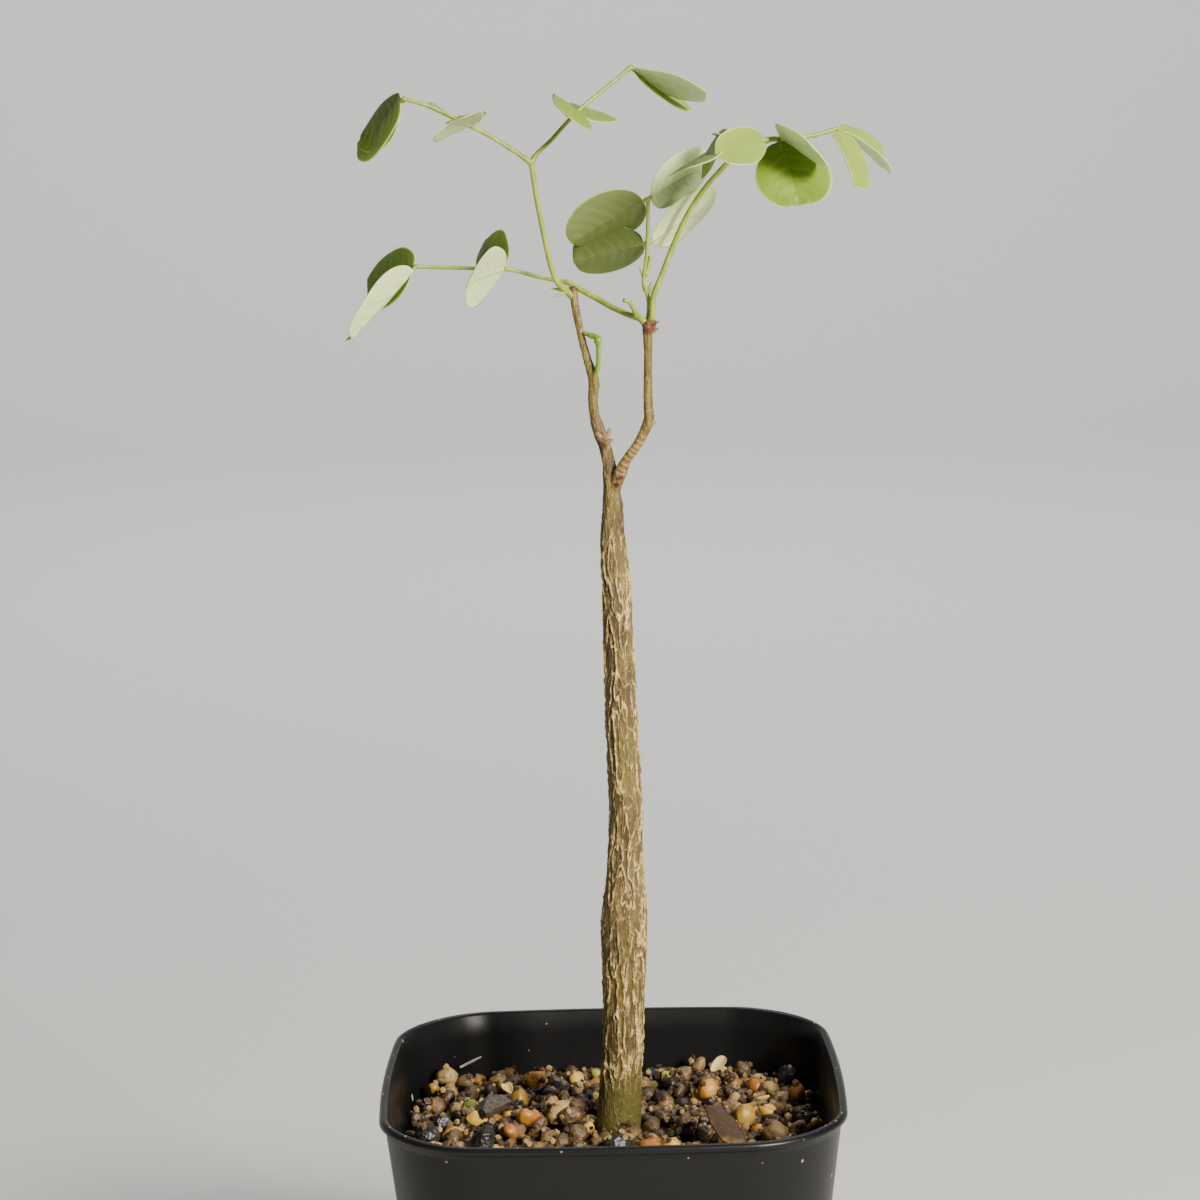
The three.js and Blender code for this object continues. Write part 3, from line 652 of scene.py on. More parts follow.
@dataclass
class Path:
    """A smooth curve through stations of x, y, z and radius."""

    stations: Sequence[Station]
    fineness: int = 24

    def at(self, share: float) -> Vector:
        """Returns x, y, z and radius at a share of the way along the stations.

        Args:
            share: The way along, from 0 at the first station to 1 at the last.

        Returns:
            A vector of x, y, z and radius.
        """
        last = len(self.stations) - 1
        place = min(share, 1.0) * last
        first = min(int(place), last - 1)
        w = place - first
        points = [Vector(s) for s in self.stations[max(first - 1, 0) : first + 3]]
        if first == 0:
            points.insert(0, points[0] * 2 - points[1])
        if len(points) < 4:
            points.append(points[-1] * 2 - points[-2])
        a, b, c, d = points
        bend = (c - a) * w + (a * 2 - b * 5 + c * 4 - d) * (w * w) + (b * 3 - a - c * 3 + d) * (w * w * w)
        return b + bend * 0.5

    def rings(self, step: float) -> Iterator[Ring]:
        """Yields cross sections at an even spacing.

        Args:
            step: The distance between cross sections, in millimetres.

        Yields:
            The cross sections, whose frames don't twist.
        """
        count = self.fineness * (len(self.stations) - 1)
        samples = [self.at(k / count) for k in range(count + 1)]
        reach = [0.0]
        for before, after in zip(samples, samples[1:]):
            reach.append(reach[-1] + (after.to_3d() - before.to_3d()).length)
        total = max(2, round(reach[-1] / step))
        across = Vector((1, 0, 0))
        k = 0
        for i in range(total + 1):
            goal = reach[-1] * i / total
            while k < count - 1 and reach[k + 1] < goal:
                k += 1
            share = (goal - reach[k]) / max(reach[k + 1] - reach[k], 1e-9)
            here = samples[k].lerp(samples[k + 1], min(1.0, share))
            ahead = samples[min(k + 2, count)].to_3d() - samples[max(k - 1, 0)].to_3d()
            along = ahead.normalized()
            across = (across - along * across.dot(along)).normalized()
            yield Ring(here.to_3d(), along, across.copy(), along.cross(across), here.w, goal)


class Loft:
    """Grows a skin ring by ring, with the same number of points in every ring."""

    def __init__(self, bm: BMesh, points: Sequence[Vector]) -> None:
        """Starts with the first ring.

        Args:
            bm: The mesh that the skin grows in.
            points: The first ring's points, in order round it.
        """
        self.bm = bm
        self.station = bm.verts.layers.int.get("station") or bm.verts.layers.int.new("station")
        self.verts = bmesh.ops.create_circle(bm, segments=len(points), radius=1.0)["verts"]
        for i, vert in enumerate(self.verts):
            vert[self.station] = i
        self.edges = list(dict.fromkeys(e for v in self.verts for e in v.link_edges))
        self._place(points)

    def _place(self, points: Sequence[Vector]) -> None:
        """Moves the newest ring to its points."""
        for vert in self.verts:
            vert.co = points[vert[self.station]]

    def grow(self, points: Sequence[Vector]) -> None:
        """Extrudes the newest ring to a next one at the given points.

        Args:
            points: Where the next ring's points lie, in order.
        """
        geometry = bmesh.ops.extrude_edge_only(self.bm, edges=self.edges)["geom"]
        self.verts = [g for g in geometry if isinstance(g, BMVert)]
        fresh = set(self.verts)
        self.edges = [g for g in geometry if isinstance(g, BMEdge) and fresh.issuperset(g.verts)]
        self._place(points)

    def close(self, point: Vector) -> None:
        """Ends the skin in a pole."""
        self.grow([point] * len(self.verts))
        bmesh.ops.pointmerge(self.bm, verts=self.verts, merge_co=point)


@dataclass
class Tube:
    """A round body swept along a path, closed at both ends. A subclass shapes its surface."""

    path: Path
    sides: int = 12
    step: float = 0.5
    marks: tuple[str, ...] = ()

    def surface(self, ring: Ring) -> list[tuple[float, ...]]:
        """Returns, for each side of a ring, its lift off the radius and its marks."""
        return [(0.0,)] * self.sides

    def build(self, bm: BMesh) -> None:
        """Adds the tube to a mesh.

        Args:
            bm: The mesh that gets the tube.
        """
        layers = [bm.verts.layers.float.get(m) or bm.verts.layers.float.new(m) for m in self.marks]
        loft: Loft | None = None
        for ring in self.path.rings(self.step):
            surface = self.surface(ring)
            points = [ring.point(TAU * i / self.sides, ring.radius + s[0]) for i, s in enumerate(surface)]
            if loft is None:
                loft = Loft(bm, [ring.centre] * self.sides)
            loft.grow(points)
            for vert in loft.verts:
                for layer, value in zip(layers, surface[vert[loft.station]][1:]):
                    vert[layer] = value
        loft.close(ring.centre + ring.along * ring.radius * 0.25)


class Piece:
    """Turns a finished bmesh into a named piece of the object."""

    def __init__(self, name: str, slot: str, finishes: Sequence[Finish], *nodes: str) -> None:
        """Starts an empty piece.

        Args:
            name: The piece's name.
            slot: The name of the piece's material slot; not used.
            finishes: The finishes, by material number.
            nodes: The solids that the piece stands for.
        """
        self.name = name
        self.slot = slot
        self.finishes = finishes
        self.nodes = nodes
        self.bm = bmesh.new()

    def finish(self, closed: bool = True, flat: bool = False) -> bpy.types.Object:
        """Cleans the mesh, scales it to metres and hangs it on the root body.

        Args:
            closed: Whether the mesh is closed, so that its faces can be turned outwards.
            flat: Whether its faces stay flat.

        Returns:
            The finished object.
        """
        bm = self.bm
        station = bm.verts.layers.int.get("station")
        if station is not None:
            bm.verts.layers.int.remove(station)
        bmesh.ops.remove_doubles(bm, verts=bm.verts, dist=1e-5)
        if closed:
            bmesh.ops.recalc_face_normals(bm, faces=bm.faces)
        bmesh.ops.scale(bm, vec=(MM, MM, MM), verts=bm.verts)
        for face in bm.faces:
            face.smooth = not flat
        mesh = bpy.data.meshes.new(self.name)
        bm.to_mesh(mesh)
        bm.free()
        for finish in self.finishes:
            mesh.materials.append(finish.material())
        piece = bpy.data.objects.new(self.name, mesh)
        bpy.context.scene.collection.objects.link(piece)
        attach(piece, "root")
        if self.nodes:
            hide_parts(*self.nodes)
        mesh.calc_loop_triangles()
        LOG.info("%s: %d triangles", self.name, len(mesh.loop_triangles))
        return piece


# The pot


@dataclass(frozen=True)
class SquareOutline:
    """The pot's horizontal outline: a square with round corners and gently bowed sides."""

    rim_half: float = 37.5
    corner: float = 15.5
    bow: float = 1.9
    corner_steps: int = 18
    side_steps: int = 14

    def ring(self, half: float, z: float) -> list[Vector]:
        """Returns the outline at one level.

        Args:
            half: Half of the outline's width at the middle of a side.
            z: The level.

        Returns:
            The outline's points, anticlockwise.
        """
        corner = self.corner * half / self.rim_half
        straight = half - corner
        quarter = [(half, straight * (-1 + 2 * i / self.side_steps)) for i in range(self.side_steps)]
        for i in range(self.corner_steps):
            angle = math.pi / 2 * i / self.corner_steps
            quarter.append((straight + corner * math.cos(angle), straight + corner * math.sin(angle)))
        bow = self.bow / self.rim_half / half / half
        bowed = [Vector((x * (1 - bow * y * y), y * (1 - bow * x * x), z)) for x, y in quarter]
        return [Matrix.Rotation(math.pi / 2 * q, 3, "Z") @ p for q in range(4) for p in bowed]

    def holds(self, x: float, y: float, half: float, margin: float) -> bool:
        """Tells whether a point lies inside the outline by at least a margin.

        Args:
            x: The point's X.
            y: The point's Y.
            half: Half of the square that the outline's sides touch.
            margin: The least distance to the outline.

        Returns:
            True where the point keeps the margin.
        """
        x, y = abs(x), abs(y)
        bow = self.bow / self.rim_half / half / half
        if x > half * (1 - bow * y * y) - margin or y > half * (1 - bow * x * x) - margin:
            return False
        corner = self.corner * half / self.rim_half
        dx, dy = x - (half - corner - self.bow), y - (half - corner - self.bow)
        return dx <= 0 or dy <= 0 or math.hypot(dx, dy) <= corner - margin


@dataclass
class Pot:
    """The thin square pot, with its rolled rim, sloping walls and eight drainage holes."""

    outline: SquareOutline
    height: float = 66.0
    base_half: float = 29.0
    base_thick: float = 2.0
    base_chamfer: float = 1.5
    wall: float = 1.0
    bead: float = 0.7
    hole_radius: float = 3.2
    hole_ring: float = 13.0
    hole_sides: int = 24
    holes: int = 8
    foot_round: float = 1.0
    crumbs: int = 26
    seed: int = 7

    def wall_half(self, z: float) -> float:
        """Returns half of the outer wall's width at a level."""
        return blend(self.base_half, self.outline.rim_half - self.bead, z / self.height)

    def _profile(self) -> list[tuple[float, float]]:
        """Returns the half width and level of every ring, up the outside and down the inside."""
        turns = [math.radians(a) for a in range(0, 91, 30)]
        bend = self.foot_round
        foot = [(self.base_half - bend * (1 - math.sin(a)), bend * (1 - math.cos(a))) for a in turns]
        levels = [8, 20, 32, 44, 54, 60, 63.4, self.height - 2 * self.bead - 0.1]
        outside = [(self.wall_half(z), z) for z in levels]
        roll = [math.radians(a) for a in range(-75, 181, 23)]
        centre = self.outline.rim_half - self.bead
        middle = self.height - self.bead
        rim = [(centre + self.bead * math.cos(a), middle + self.bead * math.sin(a)) for a in roll]
        low = self.base_thick + self.base_chamfer
        inside = [(self.wall_half(z) - self.wall, z) for z in (64.4, 62, 58, 50, 35, 20, low)]
        floor = [(self.wall_half(self.base_thick) - self.wall - self.base_chamfer, self.base_thick)]
        return [*foot, *outside, *rim, *inside, *floor]

    def build(self) -> None:
        """Makes the shell, opens its drainage holes and sets crumbs of dust on its rim."""
        piece = Piece("nursery_pot", "pot_plastic", [POT_PLASTIC], "pot")
        bm = piece.bm
        rings = [self.outline.ring(half, z) for half, z in self._profile()]
        shell = Loft(bm, rings[0])
        foot_edges = list(shell.edges)
        for ring in rings[1:]:
            shell.grow(ring)
        below: list[BMEdge] = []
        above: list[BMEdge] = []
        for k in range(self.holes):
            angle = TAU * (k + 0.5) / self.holes
            middle = Vector((self.hole_ring * math.cos(angle), self.hole_ring * math.sin(angle), 0))
            turns = [TAU * i / self.hole_sides for i in range(self.hole_sides)]
            around = [Vector((math.cos(turn), math.sin(turn), 0)) for turn in turns]
            hole = Loft(bm, [middle + p * self.hole_radius for p in around])
            below += hole.edges
            lift = Vector((0, 0, self.base_thick))
            hole.grow([middle + p * self.hole_radius + lift for p in around])
            above += hole.edges
        bmesh.ops.triangle_fill(bm, use_beauty=True, use_dissolve=False, edges=foot_edges + below)
        bmesh.ops.triangle_fill(bm, use_beauty=True, use_dissolve=False, edges=shell.edges + above)
        piece.finish()
        self._crumbs()

    def _crumbs(self) -> None:
        """Sets pale crumbs of potting dust on the rim's bead."""
        piece = Piece("rim_crumbs", "granules", [KINDS[Kind.PUMICE].finish])
        draw = random.Random(self.seed)
        ring = self.outline.ring(self.outline.rim_half - self.bead, self.height - 0.12)
        tone = piece.bm.verts.layers.float.new("tone")
        for _ in range(self.crumbs):
            place = draw.choice(ring)
            radius = draw.uniform(0.09, 0.24)
            made = bmesh.ops.create_icosphere(piece.bm, subdivisions=1, radius=radius)["verts"]
            for vert in made:
                vert.co *= draw.uniform(0.8, 1.2)
                vert[tone] = 0.9
            bmesh.ops.translate(piece.bm, verts=made, vec=place + Vector((draw.uniform(-0.3, 0.3), 0, 0.02)))
        piece.finish(flat=True)


# The soil


class Kind(Enum):
    """The kinds of granule in the potting mix."""

    PUMICE = "pumice"
    BROWN = "brown_clay"
    UMBER = "umber_clay"
    AMBER = "amber_clay"
    GOLDEN = "golden_clay"
    CHARCOAL = "charcoal"
    MOSSY = "mossy_grit"


@dataclass(frozen=True)
class Recipe:
    """How one kind of granule looks and how common it is."""

    finish: GranuleFinish
    share: float
    lumpy: float
    cuts: int
    sizes: tuple[float, float]
    flat: bool = False


KINDS = {
    Kind.PUMICE: Recipe(
        GranuleFinish(
            "tan_pumice", (0.105, 0.062, 0.022), (0.33, 0.215, 0.080), (0.56, 0.44, 0.26), 0.62,
            1100.0, 0.26,
        ),
        0.20, 0.36, 3, (1.9, 3.6),
    ),
    Kind.BROWN: Recipe(
        GranuleFinish(
            "brown_clay", (0.048, 0.024, 0.008), (0.180, 0.100, 0.032), (0.40, 0.27, 0.12), 0.52,
            1500.0, 0.24,
        ),
        0.34, 0.36, 3, (1.9, 3.8),
    ),
    Kind.UMBER: Recipe(
        GranuleFinish(
            "umber_clay", (0.018, 0.010, 0.005), (0.070, 0.040, 0.016), (0.28, 0.19, 0.09), 0.48,
            1400.0, 0.24,
        ),
        0.20, 0.36, 3, (1.8, 3.4),
    ),
    Kind.AMBER: Recipe(
        GranuleFinish(
            "amber_clay", (0.23, 0.082, 0.008), (0.50, 0.225, 0.030), (0.66, 0.40, 0.13), 0.50,
            900.0, 0.16, 0.12,
        ),
        0.040, 0.36, 3, (1.9, 3.3),
    ),
    Kind.GOLDEN: Recipe(
        GranuleFinish(
            "golden_clay", (0.25, 0.135, 0.012), (0.56, 0.345, 0.055), (0.72, 0.54, 0.22), 0.50,
            900.0, 0.18, 0.12,
        ),
        0.090, 0.34, 3, (2.0, 3.6),
    ),
    Kind.CHARCOAL: Recipe(
        GranuleFinish(
            "black_charcoal", (0.005, 0.005, 0.005), (0.022, 0.020, 0.019), (0.13, 0.11, 0.09),
            0.42, 1800.0, 0.16,
        ),
        0.10, 0.26, 6, (1.9, 3.6), True,
    ),
    Kind.MOSSY: Recipe(
        GranuleFinish(
            "mossy_grit", (0.085, 0.095, 0.008), (0.31, 0.31, 0.050), (0.55, 0.52, 0.24), 0.52, 1200.0, 0.16
        ),
        0.04, 0.30, 2, (1.5, 2.7),
    ),
}


@dataclass
class Granule:
    """One placed granule."""

    kind: Kind
    x: float
    y: float
    z: float
    radius: float


@dataclass
class Soil:
    """The soil bed and the loose granules that were poured onto it."""

    pot: Pot
    stem_at: tuple[float, float] = (0.9, 1.5)
    stem_radius: float = 3.5
    clearance: float = 0.3
    bed_top: float = 52.6
    fill_top: float = 56.9
    nestle: float = 0.84
    swell: float = 1.12
    tries: int = 9
    patience: int = 120
    heap: float = 0.9
    shapes: int = 7
    fines: int = 1300
    bed_rings: int = 25
    bed_waves: float = 1.1
    seed: int = 23
    cell: float = 4.5
    placed: list[Granule] = field(default_factory=list)
    _cells: dict[tuple[int, int], list[Granule]] = field(default_factory=dict)

    def inner_half(self, z: float) -> float:
        """Returns half of the room inside the pot at a level."""
        return self.pot.wall_half(z) - self.pot.wall - self.clearance

    def _rest(self, x: float, y: float, radius: float) -> float:
        """Returns the level where a granule dropped at a place comes to rest.

        Args:
            x: The place's X.
            y: The place's Y.
            radius: The granule's radius.

        Returns:
            The level of the granule's middle.
        """
        level = self.bed_top + radius * 0.6
        column, row = int(x // self.cell), int(y // self.cell)
        for i in range(column - 2, column + 3):
            for j in range(row - 2, row + 3):
                for other in self._cells.get((i, j), ()):
                    apart = (x - other.x) ** 2 + (y - other.y) ** 2
                    reach = (self.nestle * (radius + other.radius)) ** 2
                    if apart < reach:
                        level = max(level, other.z + math.sqrt(reach - apart))
        return level

    def _clear(self, x: float, y: float, radius: float) -> bool:
        """Tells whether a granule at a place is clear of the pot's wall and the trunk."""
        off_stem = math.hypot(x - self.stem_at[0], y - self.stem_at[1]) > self.stem_radius + radius * 0.85
        return off_stem and self.pot.outline.holds(x, y, self.inner_half(self.fill_top), radius * 0.9)

    def _set(self, granule: Granule) -> None:
        """Keeps a granule where it came to rest."""
        self.placed.append(granule)
        self._cells.setdefault((int(granule.x // self.cell), int(granule.y // self.cell)), []).append(granule)

    def pour(self, marked: Sequence[tuple[Kind, float, float, float]]) -> None:
        """Fills the pot with granules and lays the marked ones on top.

        Args:
            marked: Kind, x, y and size across of the granules that have a place of their own.
        """
        draw = random.Random(self.seed)
        kinds = list(KINDS)
        weights = [KINDS[k].share for k in kinds]
        reach = self.inner_half(self.fill_top)
        misses = 0
        while misses < self.patience:
            kind = draw.choices(kinds, weights)[0]
            radius = draw.uniform(*KINDS[kind].sizes) / 2
            spots = [(draw.uniform(-reach, reach), draw.uniform(-reach, reach)) for _ in range(self.tries)]
            levels = [(self._rest(x, y, radius), x, y) for x, y in spots if self._clear(x, y, radius)]
            if not levels or min(levels)[0] > self.fill_top:
                misses += 1
                continue
            z, x, y = min(levels)
            self._set(Granule(kind, x, y, z, radius))
        for kind, x, y, size in marked:
            level = min(self._rest(x, y, size / 2), self.fill_top + self.heap)
            self._set(Granule(kind, x, y, level, size / 2))

    def _shape(self, recipe: Recipe, draw: random.Random) -> bpy.types.Mesh:
        """Makes one unit granule: a lumpy ball, with flat faces broken off it.

        Args:
            recipe: How lumpy and how broken its kind is.
            draw: The kind's own random numbers.

        Returns:
            The granule's mesh, with a radius of about 1.
        """
        bm = bmesh.new()
        bmesh.ops.create_icosphere(bm, subdivisions=2, radius=1.0)
        offset = draw.uniform(0, 50)
        for vert in bm.verts:
            broad = wander(*(vert.co * 1.2 + Vector((offset, 0, 0))))
            small = wander(*(vert.co * 3.0 + Vector((offset, 5, 0))))
            vert.co *= 1 + recipe.lumpy * (broad + 0.5 * small)
        for _ in range(recipe.cuts):
            normal = Vector([draw.uniform(-1, 1) for _ in range(3)]).normalized()
            self.break_off(bm, normal, draw.uniform(0.62, 0.86))
        bmesh.ops.scale(bm, vec=(1.0, draw.uniform(0.8, 0.95), draw.uniform(0.66, 0.86)), verts=bm.verts)
        mesh = bpy.data.meshes.new("unit_granule")
        bm.to_mesh(mesh)
        bm.free()
        return mesh

    @staticmethod
    def break_off(bm: BMesh, normal: Vector, depth: float) -> None:
        """Cuts a lump with a plane and closes the cut.

        Args:
            bm: The lump's mesh.
            normal: The plane's direction.
            depth: The plane's distance from the middle.
        """
        geometry = [*bm.verts, *bm.edges, *bm.faces]
        plane = {"plane_co": normal * depth, "plane_no": normal}
        cut = bmesh.ops.bisect_plane(bm, geom=geometry, clear_outer=True, **plane)
        rim = [g for g in cut["geom_cut"] if isinstance(g, BMEdge)]
        if rim:
            bmesh.ops.holes_fill(bm, edges=rim, sides=0)

    def _grow_kind(self, kind: Kind) -> None:
        """Makes the piece that holds every granule of one kind.

        Args:
            kind: The kind of granule.
        """
        recipe = KINDS[kind]
        draw = random.Random(f"{self.seed} {kind.value}")
        shapes = [self._shape(recipe, draw) for _ in range(self.shapes)]
        piece = Piece(f"{kind.value}_granules", "granules", [recipe.finish])
        tone = piece.bm.verts.layers.float.new("tone")
        for granule in self.placed:
            if granule.kind is not kind:
                continue
            mesh = draw.choice(shapes).copy()
            angle = draw.uniform(0, TAU)
            axis = Vector([draw.uniform(-1, 1) for _ in range(3)]).normalized()
            turn, spin = Matrix.Rotation(angle, 4, axis), Matrix.Rotation(draw.uniform(0, TAU), 4, "Z")
            place = Matrix.Translation((granule.x, granule.y, granule.z))
            mesh.transform(place @ spin @ turn @ Matrix.Scale(granule.radius * self.swell, 4))
            self._pour_into(piece.bm, mesh, tone, draw.random())
            bpy.data.meshes.remove(mesh)
        for mesh in shapes:
            bpy.data.meshes.remove(mesh)
        piece.finish(flat=recipe.flat)

    @staticmethod
    def _pour_into(bm: BMesh, mesh: bpy.types.Mesh, layer: object, value: float) -> None:
        """Adds a mesh to a bmesh and marks its points with a value.

        Args:
            bm: The bmesh that gets the mesh.
            mesh: The mesh that is added.
            layer: The bmesh's layer for the mark.
            value: The mark.
        """
        before = len(bm.verts)
        bm.from_mesh(mesh)
        bm.verts.ensure_lookup_table()
        for i in range(before, len(bm.verts)):
            bm.verts[i][layer] = value

    def _bed(self) -> None:
        """Makes the packed soil under the loose granules, as far down as the base."""
        piece = Piece("soil_bed", "granules", [BED_FINISH], "soil")
        tone = piece.bm.verts.layers.float.new("tone")
        low = self.pot.base_thick + self.clearance
        chamfer = self.pot.base_chamfer
        levels = [low + chamfer, 15, 30, 42, self.bed_top - 1.0, self.bed_top]
        loft = Loft(piece.bm, [Vector((0, 0, low))] * len(self.pot.outline.ring(1, 0)))
        for share in (0.3, 0.6, 0.85, 1.0):
            loft.grow(self.pot.outline.ring((self.inner_half(low) - chamfer) * share, low))
        for z in levels:
            loft.grow(self.pot.outline.ring(self.inner_half(z), z))
        for k in range(1, self.bed_rings + 1):
            half = self.inner_half(self.bed_top) * (1 - k / (self.bed_rings + 2))
            ring = self.pot.outline.ring(half, self.bed_top)
            loft.grow([p + Vector((0, 0, self.bed_waves * wander(p.x * 0.7, p.y * 0.7))) for p in ring])
        loft.close(Vector((0, 0, self.bed_top)))
        for vert in piece.bm.verts:
            vert[tone] = 0.4
        piece.finish()

    def _fines(self) -> None:
        """Scatters small crumbs over the granules."""
        draw = random.Random(self.seed + 1)
        piece = Piece("soil_crumbs", "granules", [KINDS[Kind.PUMICE].finish, KINDS[Kind.UMBER].finish])
        tone = piece.bm.verts.layers.float.new("tone")
        reach = self.inner_half(self.fill_top)
        count = 0
        while count < self.fines:
            x, y, radius = draw.uniform(-reach, reach), draw.uniform(-reach, reach), draw.uniform(0.25, 0.75)
            if not self._clear(x, y, radius + 0.2):
                continue
            z = self._rest(x, y, radius) - radius * 0.35
            made = bmesh.ops.create_icosphere(piece.bm, subdivisions=1, radius=radius)["verts"]
            shade, dark = draw.random(), draw.random() < 0.5
            for vert in made:
                vert.co *= draw.uniform(0.75, 1.15)
                vert[tone] = shade
            for face in {f for v in made for f in v.link_faces}:
                face.material_index = int(dark)
            bmesh.ops.translate(piece.bm, verts=made, vec=(x, y, z))
            count += 1
        piece.finish(flat=True)

    def build(self) -> None:
        """Makes the bed, the granules of each kind and the crumbs."""
        self._bed()
        for kind in Kind:
            self._grow_kind(kind)
        self._fines()


BED_FINISH = GranuleFinish(
    "dark_soil", (0.022, 0.014, 0.008), (0.085, 0.052, 0.028), (0.2, 0.15, 0.1), 0.9, 900.0, 0.3
)


# Granules that stand out where the photograph shows them: kind, x, y and size across
MARKED_GRANULES = [
    (Kind.PUMICE, -8.7, 4.4, 4.8),
    (Kind.BROWN, -6.0, 5.0, 5.0),
    (Kind.BROWN, -7.3, 2.6, 4.4),
    (Kind.PUMICE, -9.9, 6.6, 3.8),
    (Kind.AMBER, -14.0, 2.5, 3.6),
    (Kind.AMBER, -13.2, 22.5, 4.0),
    (Kind.AMBER, 5.8, -13.8, 4.2),
    (Kind.GOLDEN, 9.0, -14.5, 4.0),
    (Kind.AMBER, 15.9, 15.5, 3.8),
    (Kind.GOLDEN, 21.7, 1.3, 4.2),
    (Kind.AMBER, 31.0, 13.0, 3.4),
    (Kind.CHARCOAL, -20.9, -8.8, 4.6),
    (Kind.CHARCOAL, 0.5, -12.0, 4.2),
    (Kind.CHARCOAL, -30.2, -5.5, 4.0),
    (Kind.CHARCOAL, 30.0, 22.5, 3.6),
    (Kind.PUMICE, -28.5, 25.5, 3.6),
    (Kind.MOSSY, -24.0, 10.0, 2.6),
    (Kind.GOLDEN, -22.5, 3.0, 3.4),
    (Kind.BROWN, 12.0, -2.0, 4.4),
    (Kind.PUMICE, 26.0, -8.0, 4.4),
    (Kind.BROWN, 28.0, -15.0, 4.6),
]


# The wood


@dataclass(frozen=True)
class CorkNet:
    """Thin ridges of cork where a stretched, crooked noise changes sign, so that they close long lenses.

    Across and along are a lens's usual width and height, and width and height are a ridge's own.
    """

    across: float
    along: float
    height: float
    width: float
    shift: float
    crooked: float = 0.22

    def lift(self, x: float, y: float, z: float) -> tuple[float, float]:
        """Returns how high the nearest ridge stands at a place on the bark, and the ridge's side.

        Args:
            x: The place's offset from the stem's middle along X.
            y: The place's offset along Y.
            z: The place's level.

        Returns:
            The share of the ridge's full height, and 0 on one side of the ridge and 1 on the other.
        """
        place = Vector((x / self.across + self.shift, y / self.across, z / self.along))
        place += stray(Vector((place.x * 1.9, place.y * 1.9, place.z * 3.1))) * self.crooked
        value = noise.noise(place)
        girth = math.hypot(x, y) / 0.1
        beside = noise.noise(place + Vector((-y / girth, x / girth, 0)))
        steep = abs(beside - value) / 0.1
        away = abs(value) / max(steep, 0.5) * self.across / self.width
        return math.exp(-away * away), smoothstep(-0.1, 0.1, value)


COARSE_NET = CorkNet(across=1.6, along=8.2, height=0.44, width=0.175, shift=0.0)
CROSS_NET = CorkNet(across=1.25, along=6.2, height=0.36, width=0.155, shift=37.3)
FINE_NET = CorkNet(across=0.85, along=4.0, height=0.15, width=0.11, shift=71.9, crooked=0.28)


